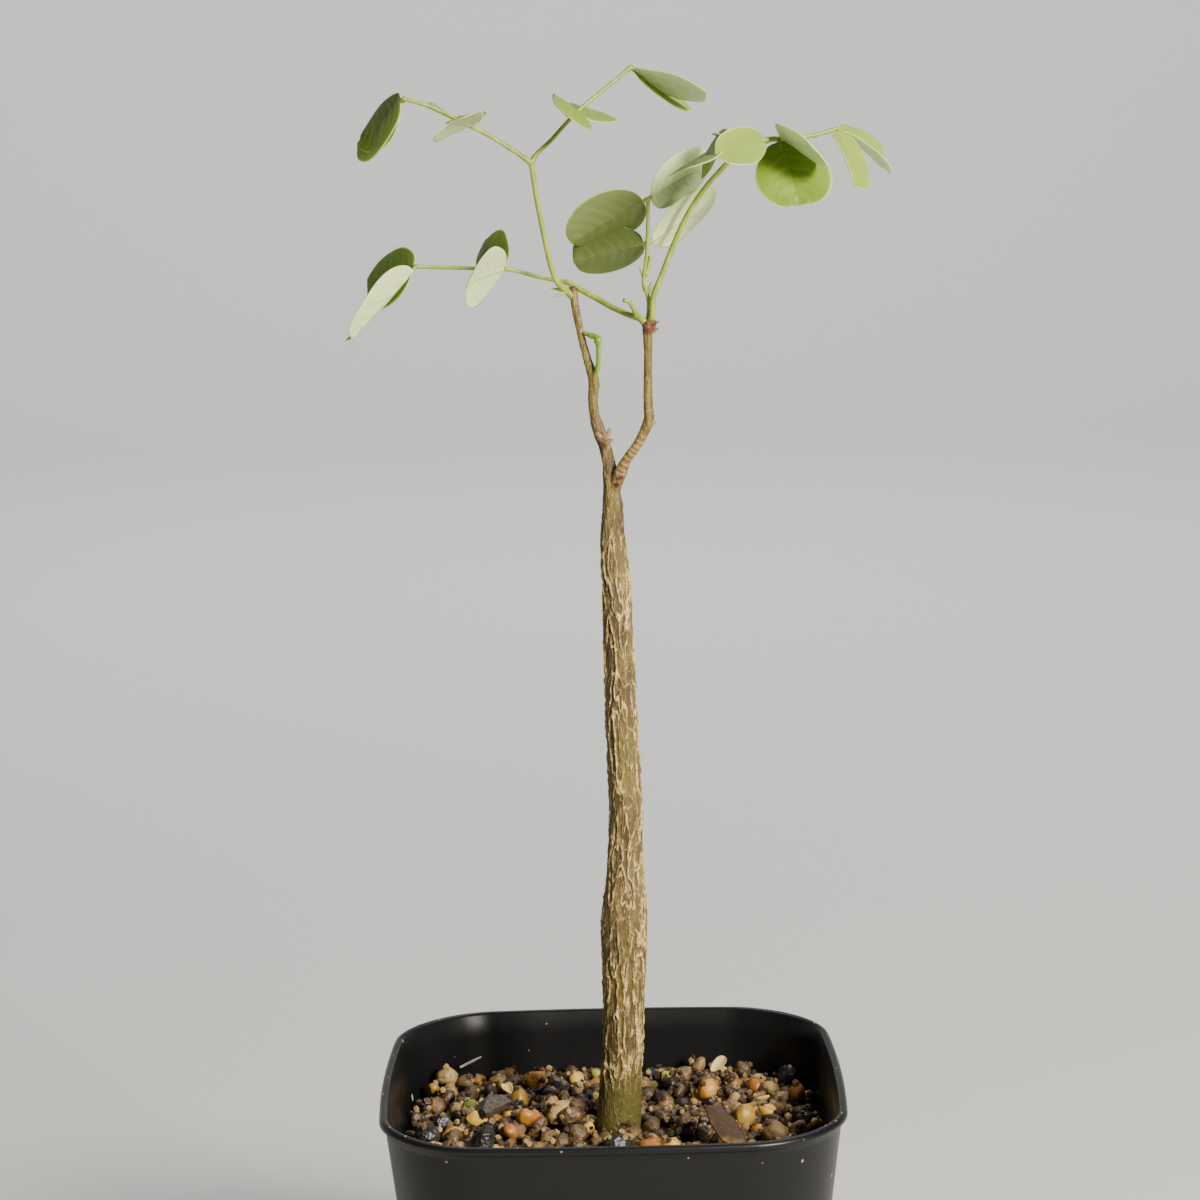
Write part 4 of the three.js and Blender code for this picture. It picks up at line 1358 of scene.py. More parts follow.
@dataclass
class BarkTube(Tube):
    """A stem or shoot with a corky net where it is old, and with scars and rings."""

    marks: tuple[str, ...] = ("cork", "lens", "age", "scar", "ring")
    net_span: tuple[float, float, float, float] = (59.0, 66.0, 168.0, 176.0)
    net_fade: float = 0.35
    fade_span: tuple[float, float] = (148.0, 160.0)
    young_span: tuple[float, float] = (166.0, 178.0)
    rings: tuple[tuple[float, float, float], ...] = ()
    scars: tuple[Station, ...] = ()
    ring_height: float = 0.09
    scar_depth: float = 0.08
    rough: float = 0.05

    def _net_share(self, z: float) -> float:
        """Returns how strong the net is at a level.

        Args:
            z: The level, in millimetres.

        Returns:
            The net's share, from 0 to 1.
        """
        low, full, fading, gone = self.net_span
        upper = blend(self.net_fade, 1.0, 1 - smoothstep(*self.fade_span, z))
        return smoothstep(low, full, z) * (1 - smoothstep(fading, gone, z)) * upper

    def surface(self, ring: Ring) -> list[tuple[float, ...]]:
        """Returns each side's lift and its cork, lens, age, scar and ring marks.

        Args:
            ring: The place along the stem.

        Returns:
            Lift, cork, lens, age, scar and ring for each side.
        """
        z = ring.centre.z
        share = self._net_share(z)
        age = smoothstep(*self.young_span, z)
        band = sum(s * math.exp(-(((ring.distance - d) / w) ** 2)) for d, w, s in self.rings)
        found = []
        for i in range(self.sides):
            angle = TAU * i / self.sides
            x, y = ring.radius * math.cos(angle), ring.radius * math.sin(angle)
            ridge, lens = self._ridge(x, y, z) if share > 0 else (0.0, 0.5)
            grit = self.rough * (wander(x * 2.2, y * 2.2, z * 1.1) + 0.8 * wander(x * 5, y * 5, z * 3))
            point = ring.point(angle, ring.radius)
            scar = max((self._scar(point, s) for s in self.scars), default=0.0)
            uneven = 0.75 + 0.5 * wander(x * 2, y * 2, z)
            marked = min(1.0, band)
            lift = ridge * share + grit + self.ring_height * marked * uneven - self.scar_depth * scar
            cork = min(1.0, 3.4 * ridge) * share
            lift -= 0.5 * COARSE_NET.height * share
            found.append((lift, cork, lens, age, scar, marked * uneven))
        return found

    @staticmethod
    def _ridge(x: float, y: float, z: float) -> tuple[float, float]:
        """Returns how far the three nets raise the bark, and how worn the bark between them is.

        Args:
            x: The place's offset from the stem's middle along X.
            y: The place's offset along Y.
            z: The place's level.

        Returns:
            The ridge's height in millimetres, and the wear from 0 to 1.
        """
        strong = 0.75 + 0.6 * wander(x * 0.5, y * 0.5, z * 0.22)
        patchy = smoothstep(-0.3, 0.25, wander(x * 0.35, y * 0.35, z * 0.12))
        coarse, side = COARSE_NET.lift(x, y, z)
        cross, other_side = CROSS_NET.lift(x, y, z)
        fine, _ = FINE_NET.lift(x, y, z)
        heights = (
            coarse * COARSE_NET.height * strong,
            cross * CROSS_NET.height * (0.45 + 0.55 * patchy),
            fine * FINE_NET.height * (1 - 0.5 * patchy),
        )
        high, middle, low = sorted(heights, reverse=True)
        ridge = (high + 0.2 * middle + 0.1 * low) * (0.8 + 0.5 * wander(x * 1.4, y * 1.4, z * 1.3))
        return ridge, 0.6 * side + 0.4 * other_side

    @staticmethod
    def _scar(point: Vector, scar: Station) -> float:
        """Returns how much of a scar lies at a point. Scars are wider than they are high.

        Args:
            point: The point.
            scar: The scar's centre and radius.

        Returns:
            The scar's share, from 0 to 1.
        """
        off = point - Vector(scar[:3])
        away = Vector((off.x, off.y, off.z * 1.6)).length
        away += 0.3 * wander(point.x * 3, point.y * 3, point.z * 3)
        return 1 - smoothstep(scar[3] * 0.55, scar[3], away)


@dataclass
class Wood:
    """The trunk that runs on into the left shoot, the right shoot, dead spurs and bud scales."""

    trunk: tuple[Station, ...] = (
        (0.9, 1.5, 46.0, 2.9),
        (0.9, 1.5, 56.0, 3.6),
        (1.2, 1.5, 62.0, 3.55),
        (1.8, 1.5, 70.0, 3.35),
        (2.1, 1.5, 78.0, 3.4),
        (2.3, 1.5, 86.0, 3.7),
        (2.4, 1.4, 92.0, 3.8),
        (2.7, 1.4, 97.0, 3.3),
        (2.8, 1.4, 102.0, 2.9),
        (3.0, 1.3, 112.0, 2.8),
        (2.7, 1.2, 121.0, 2.7),
        (2.5, 1.1, 131.0, 2.55),
        (2.2, 1.0, 144.0, 2.4),
        (1.8, 1.0, 152.0, 2.15),
        (1.7, 1.0, 156.0, 1.85),
        (1.8, 1.1, 160.0, 1.6),
        (1.6, 1.1, 163.5, 1.25),
        (1.4, 1.2, 165.5, 1.08),
        (0.9, 1.4, 168.0, 1.02),
        (0.0, 1.6, 170.9, 1.05),
        (-0.7, 1.8, 173.3, 0.86),
        (-1.0, 2.0, 176.1, 0.78),
        (-0.8, 2.1, 179.2, 0.88),
        (-1.7, 2.2, 182.4, 0.68),
        (-2.5, 2.3, 185.6, 0.6),
        (-3.4, 2.5, 190.3, 0.62),
        (-3.7, 2.8, 193.0, 0.66),
        (-3.8, 2.9, 194.0, 0.74),
    )
    right_shoot: tuple[Station, ...] = (
        (1.9, 1.0, 161.4, 0.95),
        (3.1, -0.3, 164.6, 1.02),
        (4.2, -1.0, 166.9, 0.78),
        (6.2, -1.6, 169.8, 0.74),
        (7.7, -2.0, 173.1, 0.84),
        (7.7, -2.1, 175.5, 0.76),
        (7.7, -2.2, 179.1, 0.68),
        (7.8, -2.4, 183.9, 0.65),
        (7.8, -2.6, 187.0, 0.8),
        (7.9, -2.7, 188.4, 1.05),
    )
    spurs: tuple[tuple[Station, Station], ...] = (
        ((0.9, 1.4, 169.5, 0.55), (1.6, 1.5, 171.6, 0.24)),
        ((0.7, 0.9, 169.1, 0.46), (2.0, 0.4, 170.0, 0.22)),
        ((0.1, 1.0, 170.3, 0.55), (-0.6, 0.7, 171.1, 0.36)),
        ((7.9, -2.0, 172.6, 0.6), (8.7, -2.2, 173.1, 0.38)),
    )
    scars: tuple[Station, ...] = (
        (-0.3, 0.7, 168.9, 1.7),
        (0.0, 0.5, 170.8, 0.9),
        (2.9, -1.0, 163.9, 0.85),
        (2.4, -0.6, 162.7, 0.8),
        (-3.6, 2.3, 193.9, 1.0),
        (-4.2, 2.1, 192.9, 0.5),
        (7.8, -3.2, 187.6, 0.8),
    )
    trunk_sides: int = 156
    trunk_step: float = 0.27
    shoot_sides: int = 40
    shoot_step: float = 0.16
    scale_rows: int = 3
    scales_per_row: int = 5
    seed: int = 5

    def build(self) -> None:
        """Makes the trunk, the right shoot, the spurs and the bud scales."""
        piece = Piece("netted_trunk", "bark", [BARK], "trunk")
        BarkTube(Path(self.trunk), self.trunk_sides, self.trunk_step, scars=self.scars).build(piece.bm)
        piece.finish()
        piece = Piece("right_shoot", "bark", [BARK], "trunk")
        path, rings = Path(self.right_shoot), self._growth_rings()
        shoot = BarkTube(path, self.shoot_sides, self.shoot_step, scars=self.scars, rings=rings)
        # Both spans end far below the shoot, so it has no net and is young from its foot
        shoot.net_span = (100.0, 101.0, 102.0, 103.0)
        shoot.young_span = (100.0, 101.0)
        shoot.rough = 0.035
        shoot.build(piece.bm)
        piece.finish()
        self._dead_spurs()
        self._bud_scales()

    @staticmethod
    def _growth_rings() -> tuple[tuple[float, float, float], ...]:
        """Returns the distance, width and strength of each ring scar of the right shoot."""
        close = tuple((4.0 + 0.86 * k + 0.15 * math.sin(5.0 * k), 0.11, 0.85) for k in range(9))
        return (*close, (15.2, 0.12, 0.35), (17.6, 0.1, 0.25), (20.0, 0.1, 0.2))

    def _dead_spurs(self) -> None:
        """Makes the broken stubs of old twigs."""
        piece = Piece("dead_spurs", "bark", [DEAD_WOOD], "trunk")
        for foot, tip in self.spurs:
            start, end = Vector(foot), Vector(tip)
            middle = (start + end) / 2
            middle.w = blend(foot[3], tip[3], 0.35)
            path = Path([tuple(start), tuple(middle), tuple(end)])
            Tube(path, 9, 0.22).build(piece.bm)
        for vert in piece.bm.verts:
            vert.co += Vector((0.09 * wander(*(vert.co * 2.4)), 0.09 * wander(*(vert.co.yzx * 2.4)), 0))
        piece.finish()

    def _bud_scales(self) -> None:
        """Makes the tuft of papery brown scales at the right shoot's end."""
        draw = random.Random(self.seed)
        piece = Piece("bud_scales", "bark", [BUD_SCALE], "trunk")
        top = Vector(self.right_shoot[-1][:3])
        for row in range(self.scale_rows):
            for k in range(self.scales_per_row):
                length = draw.uniform(0.9, 1.4)
                made = bmesh.ops.create_icosphere(piece.bm, subdivisions=3, radius=0.5)["verts"]
                for vert in made:
                    point = vert.co.z + 0.5
                    narrow = 1 - 0.6 * point * point
                    curl = 0.42 * point * point - 0.55 * vert.co.y * vert.co.y
                    crease = 0.06 * wander(vert.co.y * 6, point * 3, row + k * 1.7)
                    thick, wide = vert.co.x * 0.24 + curl + crease, vert.co.y * 1.25 * narrow
                    vert.co = Vector((thick, wide, point * length))
                spread = Matrix.Rotation(math.radians(draw.uniform(-4, 30)), 4, "Y")
                angle = math.radians(-95 + 150 * (k + draw.uniform(-0.3, 0.3)) / self.scales_per_row)
                turn = Matrix.Rotation(angle, 4, "Z")
                out = Matrix.Translation((0.86, 0, 0))
                place = Matrix.Translation(top + Vector((0, 0, -1.5 + 0.5 * row)))
                bmesh.ops.transform(piece.bm, matrix=place @ turn @ out @ spread, verts=made)
        piece.finish()


# The leaves


@dataclass(frozen=True)
class Stalk:
    """A petiole, rachis or bud stalk: its path and its radii at the foot and the end."""

    radii: tuple[float, float]
    points: tuple[Point, ...]

    def path(self) -> Path:
        """Returns the stalk's path with a radius at each point."""
        last = len(self.points) - 1
        return Path([(*p, blend(*self.radii, math.sqrt(i / last))) for i, p in enumerate(self.points)])


@dataclass(frozen=True)
class Leaflet:
    """A leaflet: where it springs, how its midrib and upper face lie, and its size, in degrees.

    The lie is the midrib's azimuth from +X towards +Y, its elevation and the roll of its upper face
    from facing up. Fold lifts its halves, and arch bends its tip down. Its form is how far the widest
    place lies towards the tip, the notch's share of the length, the tip's twist against the base, and
    how much wider the left half is than the right. Its look is how much of the paler colour it gets,
    partly glaucous and partly painted light, and how much painted shade darkens it.
    """

    at: Point
    lie: Point
    fold: float
    size: tuple[float, float]
    arch: float
    form: tuple[float, float, float, float]
    look: tuple[float, float] = (0.4, 0.1)


@dataclass
class StalkTube(Tube):
    """A green stalk, swollen at its joints."""

    swellings: tuple[tuple[Point, float, float], ...] = ()

    def surface(self, ring: Ring) -> list[tuple[float, ...]]:
        """Returns each side's lift: swellings at the joints and a shallow groove above.

        Args:
            ring: The place along the stalk.

        Returns:
            The lift of each side.
        """
        grow = sum(
            amount * math.exp(-((ring.centre - Vector(at)).length_squared / (reach * reach)))
            for at, amount, reach in self.swellings
        )
        groove = 0.05 * ring.radius
        return [(grow - groove * math.cos(2 * TAU * i / self.sides),) for i in range(self.sides)]


@dataclass
class Blade:
    """The fine mesh of one leaflet: two faces of a thin, notched, folded and arched blade."""

    leaflet: Leaflet
    tilt: float
    rows: int = 44
    columns: int = 30
    thick: float = 0.36
    edge_thick: float = 0.12
    notch_width: float = 0.42
    stalklet: float = 0.9
    stalklet_sunk: float = 1.6
    pairs: float = 7.0
    spread: float = 1.35
    slant: float = 0.26
    waved: float = 0.20
    quilted: float = 0.05
    cupped: float = 0.35

    def __post_init__(self) -> None:
        """Works out the blade's own axes."""
        azimuth, elevation, roll = (math.radians(a) for a in self.leaflet.lie)
        flat = Vector((-math.sin(azimuth), math.cos(azimuth), 0))
        level = math.cos(elevation)
        self.along = Vector((level * math.cos(azimuth), level * math.sin(azimuth), math.sin(elevation)))
        over = self.along.cross(flat)
        self.side = flat * math.cos(roll) + over * math.sin(roll)
        self.face = over * math.cos(roll) - flat * math.sin(roll)
        self.start = Vector(self.leaflet.at) + self.along * self.stalklet
        self.curl = math.radians(self.leaflet.arch) / self.leaflet.size[0]

    def place(self, x: float, beside: float, above: float) -> Vector:
        """Returns the point at a place along, beside and above the blade's arched and twisted midline.

        Args:
            x: The way along the midline.
            beside: The distance to the side of it.
            above: The height over it.

        Returns:
            The point in the part's frame.
        """
        bend = self.curl * x
        wring = math.radians(self.leaflet.form[2]) * (x / self.leaflet.size[0] - 0.5)
        y = beside * math.cos(wring) - above * math.sin(wring)
        z = beside * math.sin(wring) + above * math.cos(wring)
        forward = math.sin(bend) / self.curl + z * math.sin(bend)
        drop = (math.cos(bend) - 1) / self.curl + z * math.cos(bend)
        return self.start + self.along * forward + self.face * drop + self.side * y

    def surface(self, turn: float, column: float, upper: bool) -> Vector:
        """Returns a point of the blade's upper or under face.

        Args:
            turn: The outline's angle, from 0 at the base to pi at the tip.
            column: The place across, from -1 to 1 at the margins.
            upper: Whether the point is on the upper face.

        Returns:
            The point.
        """
        length, width = self.leaflet.size
        obovate, depth, _, oblique = self.leaflet.form
        share = math.copysign(abs(column) ** self.spread, column)
        reach = (1 - math.cos(turn)) / 2
        notch = depth * math.exp(-(((math.pi - turn) / self.notch_width) ** 2))
        middle, edge = length * (1 - depth) * reach, length * (reach - notch)
        x = blend(middle, edge, share * share)
        out = width / 2 * math.sin(turn) * (1 - obovate * math.cos(turn))
        out *= 1 + math.copysign(oblique, share)
        fold = math.radians(self.leaflet.fold)
        soft = math.sqrt(share * share + 0.015)
        y = share * out * math.cos(fold)
        z = (soft - 0.12) * out * math.sin(fold)
        slope = math.tan(fold) * share / soft
        z += self._waves(x / length, share, out)
        half = blend(self.thick, self.edge_thick, abs(share) ** 3) / 2
        rib = math.exp(-((share * out / 0.3) ** 2)) * (1 - 0.75 * reach)
        half += -0.05 * rib if upper else 0.13 * rib
        sign = 1 if upper else -1
        steep = math.sqrt(1 + slope * slope)
        return self.place(x, y - sign * half * slope / steep, z + sign * half / steep)

    def _waves(self, x: float, share: float, out: float) -> float:
        """Returns the blade's own unevenness: a waved margin and a faint quilting by the veins.

        Args:
            x: The share of the blade's length.
            share: The place across, from -1 to 1.
            out: Half of the blade's width there.

        Returns:
            The height over the plain blade.
        """
        outer = share * share
        margin = self.waved * outer * math.sin(7.0 * x + self.tilt * 9 + 2.2 * math.copysign(1, share))
        veins = (x - self.slant * abs(share) ** self.spread) * self.pairs
        quilt = -self.quilted * math.cos(TAU * veins) * (1 - outer) * min(1.0, out / 3)
        cup = -self.cupped * outer * math.sin(math.pi * min(1.0, x)) * (0.4 + self.tilt)
        return margin * min(1.0, out / 2) + quilt + cup * min(1.0, out / 3)

    def build(self, bm: BMesh) -> None:
        """Adds the blade to a mesh, its upper face as material 0 and the rest as material 1.

        Args:
            bm: The mesh that gets the blade.
        """
        bm.loops.layers.uv.get("blade") or bm.loops.layers.uv.new("blade")
        layers = bm.verts.layers.float
        bloom_and_painted_light, painted_shade = (layers.get(name) or layers.new(name) for name in ("bloom_and_painted_light", "painted_shade"))
        rims: list[BMEdge] = []
        for upper in (True, False):
            made = bmesh.ops.create_grid(
                bm, x_segments=self.rows, y_segments=self.columns, size=1.0, calc_uvs=True
            )["verts"]
            faces = {f for v in made for f in v.link_faces}
            for face in faces:
                face.material_index = 0 if upper else 1
                if not upper:
                    face.normal_flip()
            for vert in made:
                vert.co = self.surface(math.pi * (vert.co.x + 1) / 2, vert.co.y, upper)
                # Each point gets the leaflet's share of paler colour, partly glaucous and partly painted
                # light, and its share of painted shade.
                vert[bloom_and_painted_light], vert[painted_shade] = self.leaflet.look
            edges = {e for f in faces for e in f.edges}
            ends = [v for v in made if v.is_boundary]
            bmesh.ops.remove_doubles(bm, verts=ends, dist=1e-4)
            rims += [e for e in edges if e.is_valid and e.is_boundary]
        rim = bmesh.ops.bridge_loops(bm, edges=rims)["faces"]
        for face in rim:
            face.material_index = 1

    def joint(self) -> Tube:
        """Returns the leaflet's own short stalk."""
        foot = Vector(self.leaflet.at)
        sunk = self.place(self.stalklet_sunk, 0, -0.05)
        middle = self.place(0, 0, 0)
        start, half_way = foot - self.along * 0.15, foot.lerp(middle, 0.5)
        stations = [(*start, 0.30), (*half_way, 0.40), (*middle, 0.32), (*sunk, 0.2)]
        return Tube(Path(stations), 10, 0.2)


@dataclass
class Leaf:
    """A compound leaf: its stalks in one piece and its leaflets in another."""

    name: str
    node: str
    stalks: tuple[Stalk, ...]
    leaflets: tuple[Leaflet, ...]
    stipules: tuple[tuple[Point, Point], ...] = ()
    seed: int = 1

    def build(self) -> None:
        """Makes the leaf's blades and stalks."""
        draw = random.Random(self.seed)
        blades = [Blade(leaflet, draw.random()) for leaflet in self.leaflets]
        piece = Piece(f"{self.name}_leaflets", "leaf_green", [UPPER_FACE, UNDER_FACE], self.node)
        for blade in blades:
            blade.build(piece.bm)
        piece.finish(closed=False)
        piece = Piece(f"{self.name}_stalks", "leaf_green", [PETIOLE], self.node)
        joints = tuple((leaflet.at, 0.10, 0.8) for leaflet in self.leaflets[::2])
        for stalk in self.stalks:
            swellings = (*joints, (stalk.points[0], 0.12, 1.3))
            StalkTube(stalk.path(), 14, 0.3, swellings=swellings).build(piece.bm)
        for blade in blades:
            blade.joint().build(piece.bm)
        for foot, tip in self.stipules:
            middle = Vector(foot).lerp(Vector(tip), 0.55)
            Tube(Path([(*foot, 0.3), (*middle, 0.24), (*tip, 0.05)]), 8, 0.2).build(piece.bm)
        piece.finish()


# Each leaflet's last pair is its look: its share of paler colour, partly glaucous and partly painted light,
# and its share of painted shade.
LEAVES = (
    Leaf(
        "left_leaf",
        "leaf_a",
        (
            Stalk(
                (0.6, 0.42),
                (
                    (-3.8, 2.9, 192.5),
                    (-4.8, 2.4, 193.4),
                    (-6.3, 1.0, 195.1),
                    (-7.2, 0.2, 197.7),
                    (-8.0, -0.5, 201.6),
                    (-9.1, -1.5, 207.9),
                    (-9.9, -2.0, 214.1),
                ),
            ),
            Stalk(
                (0.4, 0.33),
                (
                    (-9.8, -2.0, 213.6),
                    (-12.3, -3.0, 215.5),
                    (-16.8, -5.0, 218.4),
                    (-20.6, -7.0, 220.5),
                    (-25.0, -9.0, 222.7),
                    (-29.0, -11.0, 224.0),
                ),
            ),
            Stalk(
                (0.4, 0.33),
                (
                    (-9.9, -2.0, 213.6),
                    (-8.9, -1.5, 215.1),
                    (-6.6, 0.0, 217.2),
                    (-2.6, 2.0, 221.3),
                    (3.5, 5.5, 226.1),
                    (6.0, 7.0, 228.1),
                ),
            ),
        ),
        (
            Leaflet(
                (-18.7, -6.0, 219.6), (-109, 8, 31), -11, (12.9, 8.3), 14, (0.25, 0.14, 3, -0.07),
                (0.75, 0.2),
            ),
            Leaflet(
                (-18.7, -6.0, 219.6), (106, 6, 4), 26, (12.7, 10.2), 2, (0.27, 0.08, 20, -0.1), (0.5, 0.2)
            ),
            Leaflet(
                (-28.9, -11.0, 224.0), (127, -30, -59), -12, (13.9, 9.8), -5, (0.27, 0.05, 19, 0),
                (0.9, 0.0),
            ),
            Leaflet(
                (-28.8, -10.6, 223.9), (130, -28, -65), -8, (12.1, 9.0), -5, (0.12, 0.06, 19, 0),
                (0.0, 0.45),
            ),
            Leaflet(
                (-2.8, 2.0, 221.2), (-88, 8, -43), 0, (14.0, 8.0), 26, (0.05, 0.05, -5, 0.01), (0.3, 0.1)
            ),
            Leaflet(
                (-2.8, 2.0, 221.2), (72, -3, 23), 3, (12.3, 8.3), -5, (0.13, 0.07, -17, 0.05), (0.3, 0.1)
            ),
            Leaflet(
                (5.9, 7.0, 228.1), (-6, -20, -20), -5, (12.8, 9.9), 1, (0.39, 0.07, 7, 0.05), (1.0, 0.0)
            ),
            Leaflet(
                (5.9, 7.0, 228.1), (52, -25, 36), -1, (14.3, 10.6), -7, (0.26, 0.06, -20, 0.1), (1.0, 0.0)
            ),
        ),
        (((-5.2, 2.2, 193.6), (-7.3, 1.9, 193.9)), ((-5.0, 1.9, 193.2), (-6.6, 1.0, 192.7))),
        3,
    ),
    Leaf(
        "low_left_leaf",
        "leaf_b",
        (
            Stalk(
                (0.62, 0.48),
                (
                    (7.7, -2.7, 188.2),
                    (6.7, -2.6, 189.2),
                    (5.1, -1.5, 189.7),
                    (2.3, 1.5, 190.8),
                    (-0.1, 3.6, 192.1),
                    (-2.7, 4.6, 193.5),
                    (-4.9, 5.2, 194.8),
                ),
            ),
            Stalk(
                (0.36, 0.32),
                (
                    (-4.2, 5.0, 194.5),
                    (-9.0, 5.2, 195.5),
                    (-14.5, 4.5, 197.0),
                    (-20.0, 4.2, 197.2),
                    (-28.6, 3.0, 197.7),
                ),
            ),
            Stalk(
                (0.42, 0.36),
                ((6.2, -2.2, 189.4), (5.7, -3.2, 190.7), (4.9, -3.8, 192.0), (4.1, -4.2, 192.2)),
            ),
        ),
        (
            Leaflet(
                (-14.5, 4.5, 197.0), (-117, -5, 66), -5, (13.2, 10.1), 7, (0.2, 0.05, 3, -0.06), (1.0, 0.0)
            ),
            Leaflet(
                (-14.5, 4.5, 197.0), (111, 20, -57), -5, (13.5, 7.4), 14, (0.16, 0.09, -3, 0.01), (0.0, 0.5)
            ),
            Leaflet(
                (-28.5, 3.0, 197.7), (-143, -41, 44), 22, (16.8, 10.0), -2, (0.03, 0.08, -14, 0.02),
                (1.0, 0.0),
            ),
            Leaflet(
                (-28.5, 3.0, 197.7), (127, -10, -63), -9, (13.9, 10.9), 1, (0.18, 0.03, -2, -0.07),
                (0.0, 0.5),
            ),
        ),
        (),
        4,
    ),
    Leaf(
        "middle_leaf",
        "leaf_c",
        (
            Stalk(
                (0.42, 0.3),
                (
                    (7.9, -2.5, 188.1),
                    (8.0, -2.0, 189.8),
                    (8.0, -2.6, 192.0),
                    (7.6, -3.4, 193.9),
                    (7.3, -4.0, 195.2),
                    (7.9, -4.0, 199.9),
                    (8.1, -4.0, 204.5),
                    (8.2, -4.0, 208.1),
                ),
            ),
            Stalk((0.34, 0.3), ((7.5, -3.9, 196.0), (8.0, -4.1, 197.3), (8.4, -4.2, 199.0))),
        ),
        (
            Leaflet(
                (8.0, -4.0, 201.0), (148, -11, 76), 43, (13.1, 10.0), 16, (0.21, 0.06, 1, 0.02), (0.15, 1.0)
            ),
            Leaflet(
                (8.0, -4.0, 201.0), (36, 27, -54), 11, (14.5, 10.0), 7, (0.24, 0.09, 17, 0.07), (1.0, 0.0)
            ),
            Leaflet(
                (8.2, -4.0, 207.8), (158, -24, 45), 14, (13.9, 10.1), 12, (0.05, 0.03, -39, -0.03),
                (0.0, 1.0),
            ),
            Leaflet(
                (8.2, -4.0, 207.8), (53, 23, -68), 10, (13.8, 10.0), 23, (0.19, 0.06, 13, -0.01), (1.0, 0.0)
            ),
        ),
        (
            ((7.4, -3.8, 195.6), (6.6, -4.1, 197.4)),
            ((7.9, -3.2, 193.2), (8.6, -3.6, 195.2)),
            ((7.5, -3.3, 193.6), (7.0, -3.7, 195.2)),
        ),
        5,
    ),
    Leaf(
        "right_leaf",
        "leaf_d",
        (
            Stalk(
                (0.62, 0.42),
                (
                    (8.0, -2.7, 188.0),
                    (8.5, -3.4, 189.6),
                    (8.6, -3.6, 191.6),
                    (9.0, -3.9, 193.5),
                    (10.0, -4.2, 195.7),
                    (13.0, -4.8, 202.9),
                    (16.2, -5.0, 208.3),
                    (20.6, -5.0, 213.2),
                    (24.0, -5.0, 215.5),
                    (26.8, -5.0, 216.6),
                ),
            ),
            Stalk(
                (0.4, 0.33),
                ((26.4, -5.0, 216.5), (28.4, -4.0, 216.7), (33.2, -2.0, 216.9), (38.1, 0.0, 218.0)),
            ),
            Stalk(
                (0.4, 0.33),
                (
                    (26.6, -4.6, 216.5), (26.2, -12.0, 216.7), (24.6, -13.0, 216.7),
                    (22.6, -13.4, 216.9), (20.3, -13.2, 216.9),
                ),
            ),
        ),
        (
            Leaflet(
                (26.2, -12.0, 216.7), (-130, -8, -73), 45, (12.7, 8.3), 3, (0.25, 0.08, 11, 0.06),
                (0.9, 0.0),
            ),
            Leaflet(
                (26.2, -12.0, 216.7), (118, 6, 34), -29, (11.0, 8.0), 12, (0.3, 0.08, 12, 0.02), (0.2, 0.5)
            ),
            Leaflet(
                (28.4, -4.0, 216.8), (-71, -47, 16), 16, (12.9, 11.9), 17, (0.22, 0.09, -16, -0.03),
                (0.0, 0.3),
            ),
            Leaflet(
                (28.8, -3.8, 216.9), (-70, -6, -43), -1, (13.4, 9.7), 1, (0.22, 0.08, 1, 0), (1.0, 0.0)
            ),
            Leaflet(
                (38.0, 0.0, 218.0), (-77, -42, -38), 21, (12.7, 7.6), 3, (0.06, 0.08, -32, -0.03),
                (1.0, 0.0),
            ),
            Leaflet(
                (38.0, 0.0, 218.0), (44, -27, 36), 25, (12.7, 9.5), 7, (0.17, 0.09, 28, -0.01), (1.0, 0.0)
            ),
            Leaflet(
                (20.3, -13.2, 216.9), (-132, -21, 18), -5, (12.5, 8.6), -1, (0.3, 0.06, 0, 0), (0.0, 0.5)
            ),
            Leaflet(
                (20.3, -13.2, 216.9), (110, -12, -62), -4, (13.0, 8.0), 13, (0.25, 0.05, -18, 0.01),
                (0.2, 0.0),
            ),
        ),
        (),
        6,
    ),
)


@dataclass
class HookedShoot:
    """The small fresh green shoot in the left shoot's axil, with a knee and a bud at its end."""

    stalk: Stalk = Stalk(
        (0.5, 0.36),
        (
            (-0.8, 2.1, 179.7),
            (-0.3, 1.1, 180.8),
            (0.0, 0.5, 182.2),
            (0.05, 0.2, 184.4),
            (0.0, 0.2, 185.7),
            (-0.4, 0.4, 186.3),
            (-1.0, 0.8, 186.4),
            (-2.1, 1.6, 186.8),
        ),
    )

    def build(self) -> None:
        """Makes the shoot."""
        piece = Piece("hooked_green_shoot", "shoot_green", [SPRIG], "hooked_shoot")
        swellings = ((self.stalk.points[4], 0.32, 0.62), (self.stalk.points[-2], 0.14, 0.4))
        StalkTube(self.stalk.path(), 14, 0.15, swellings=swellings).build(piece.bm)
        piece.finish()


# Debris on the soil


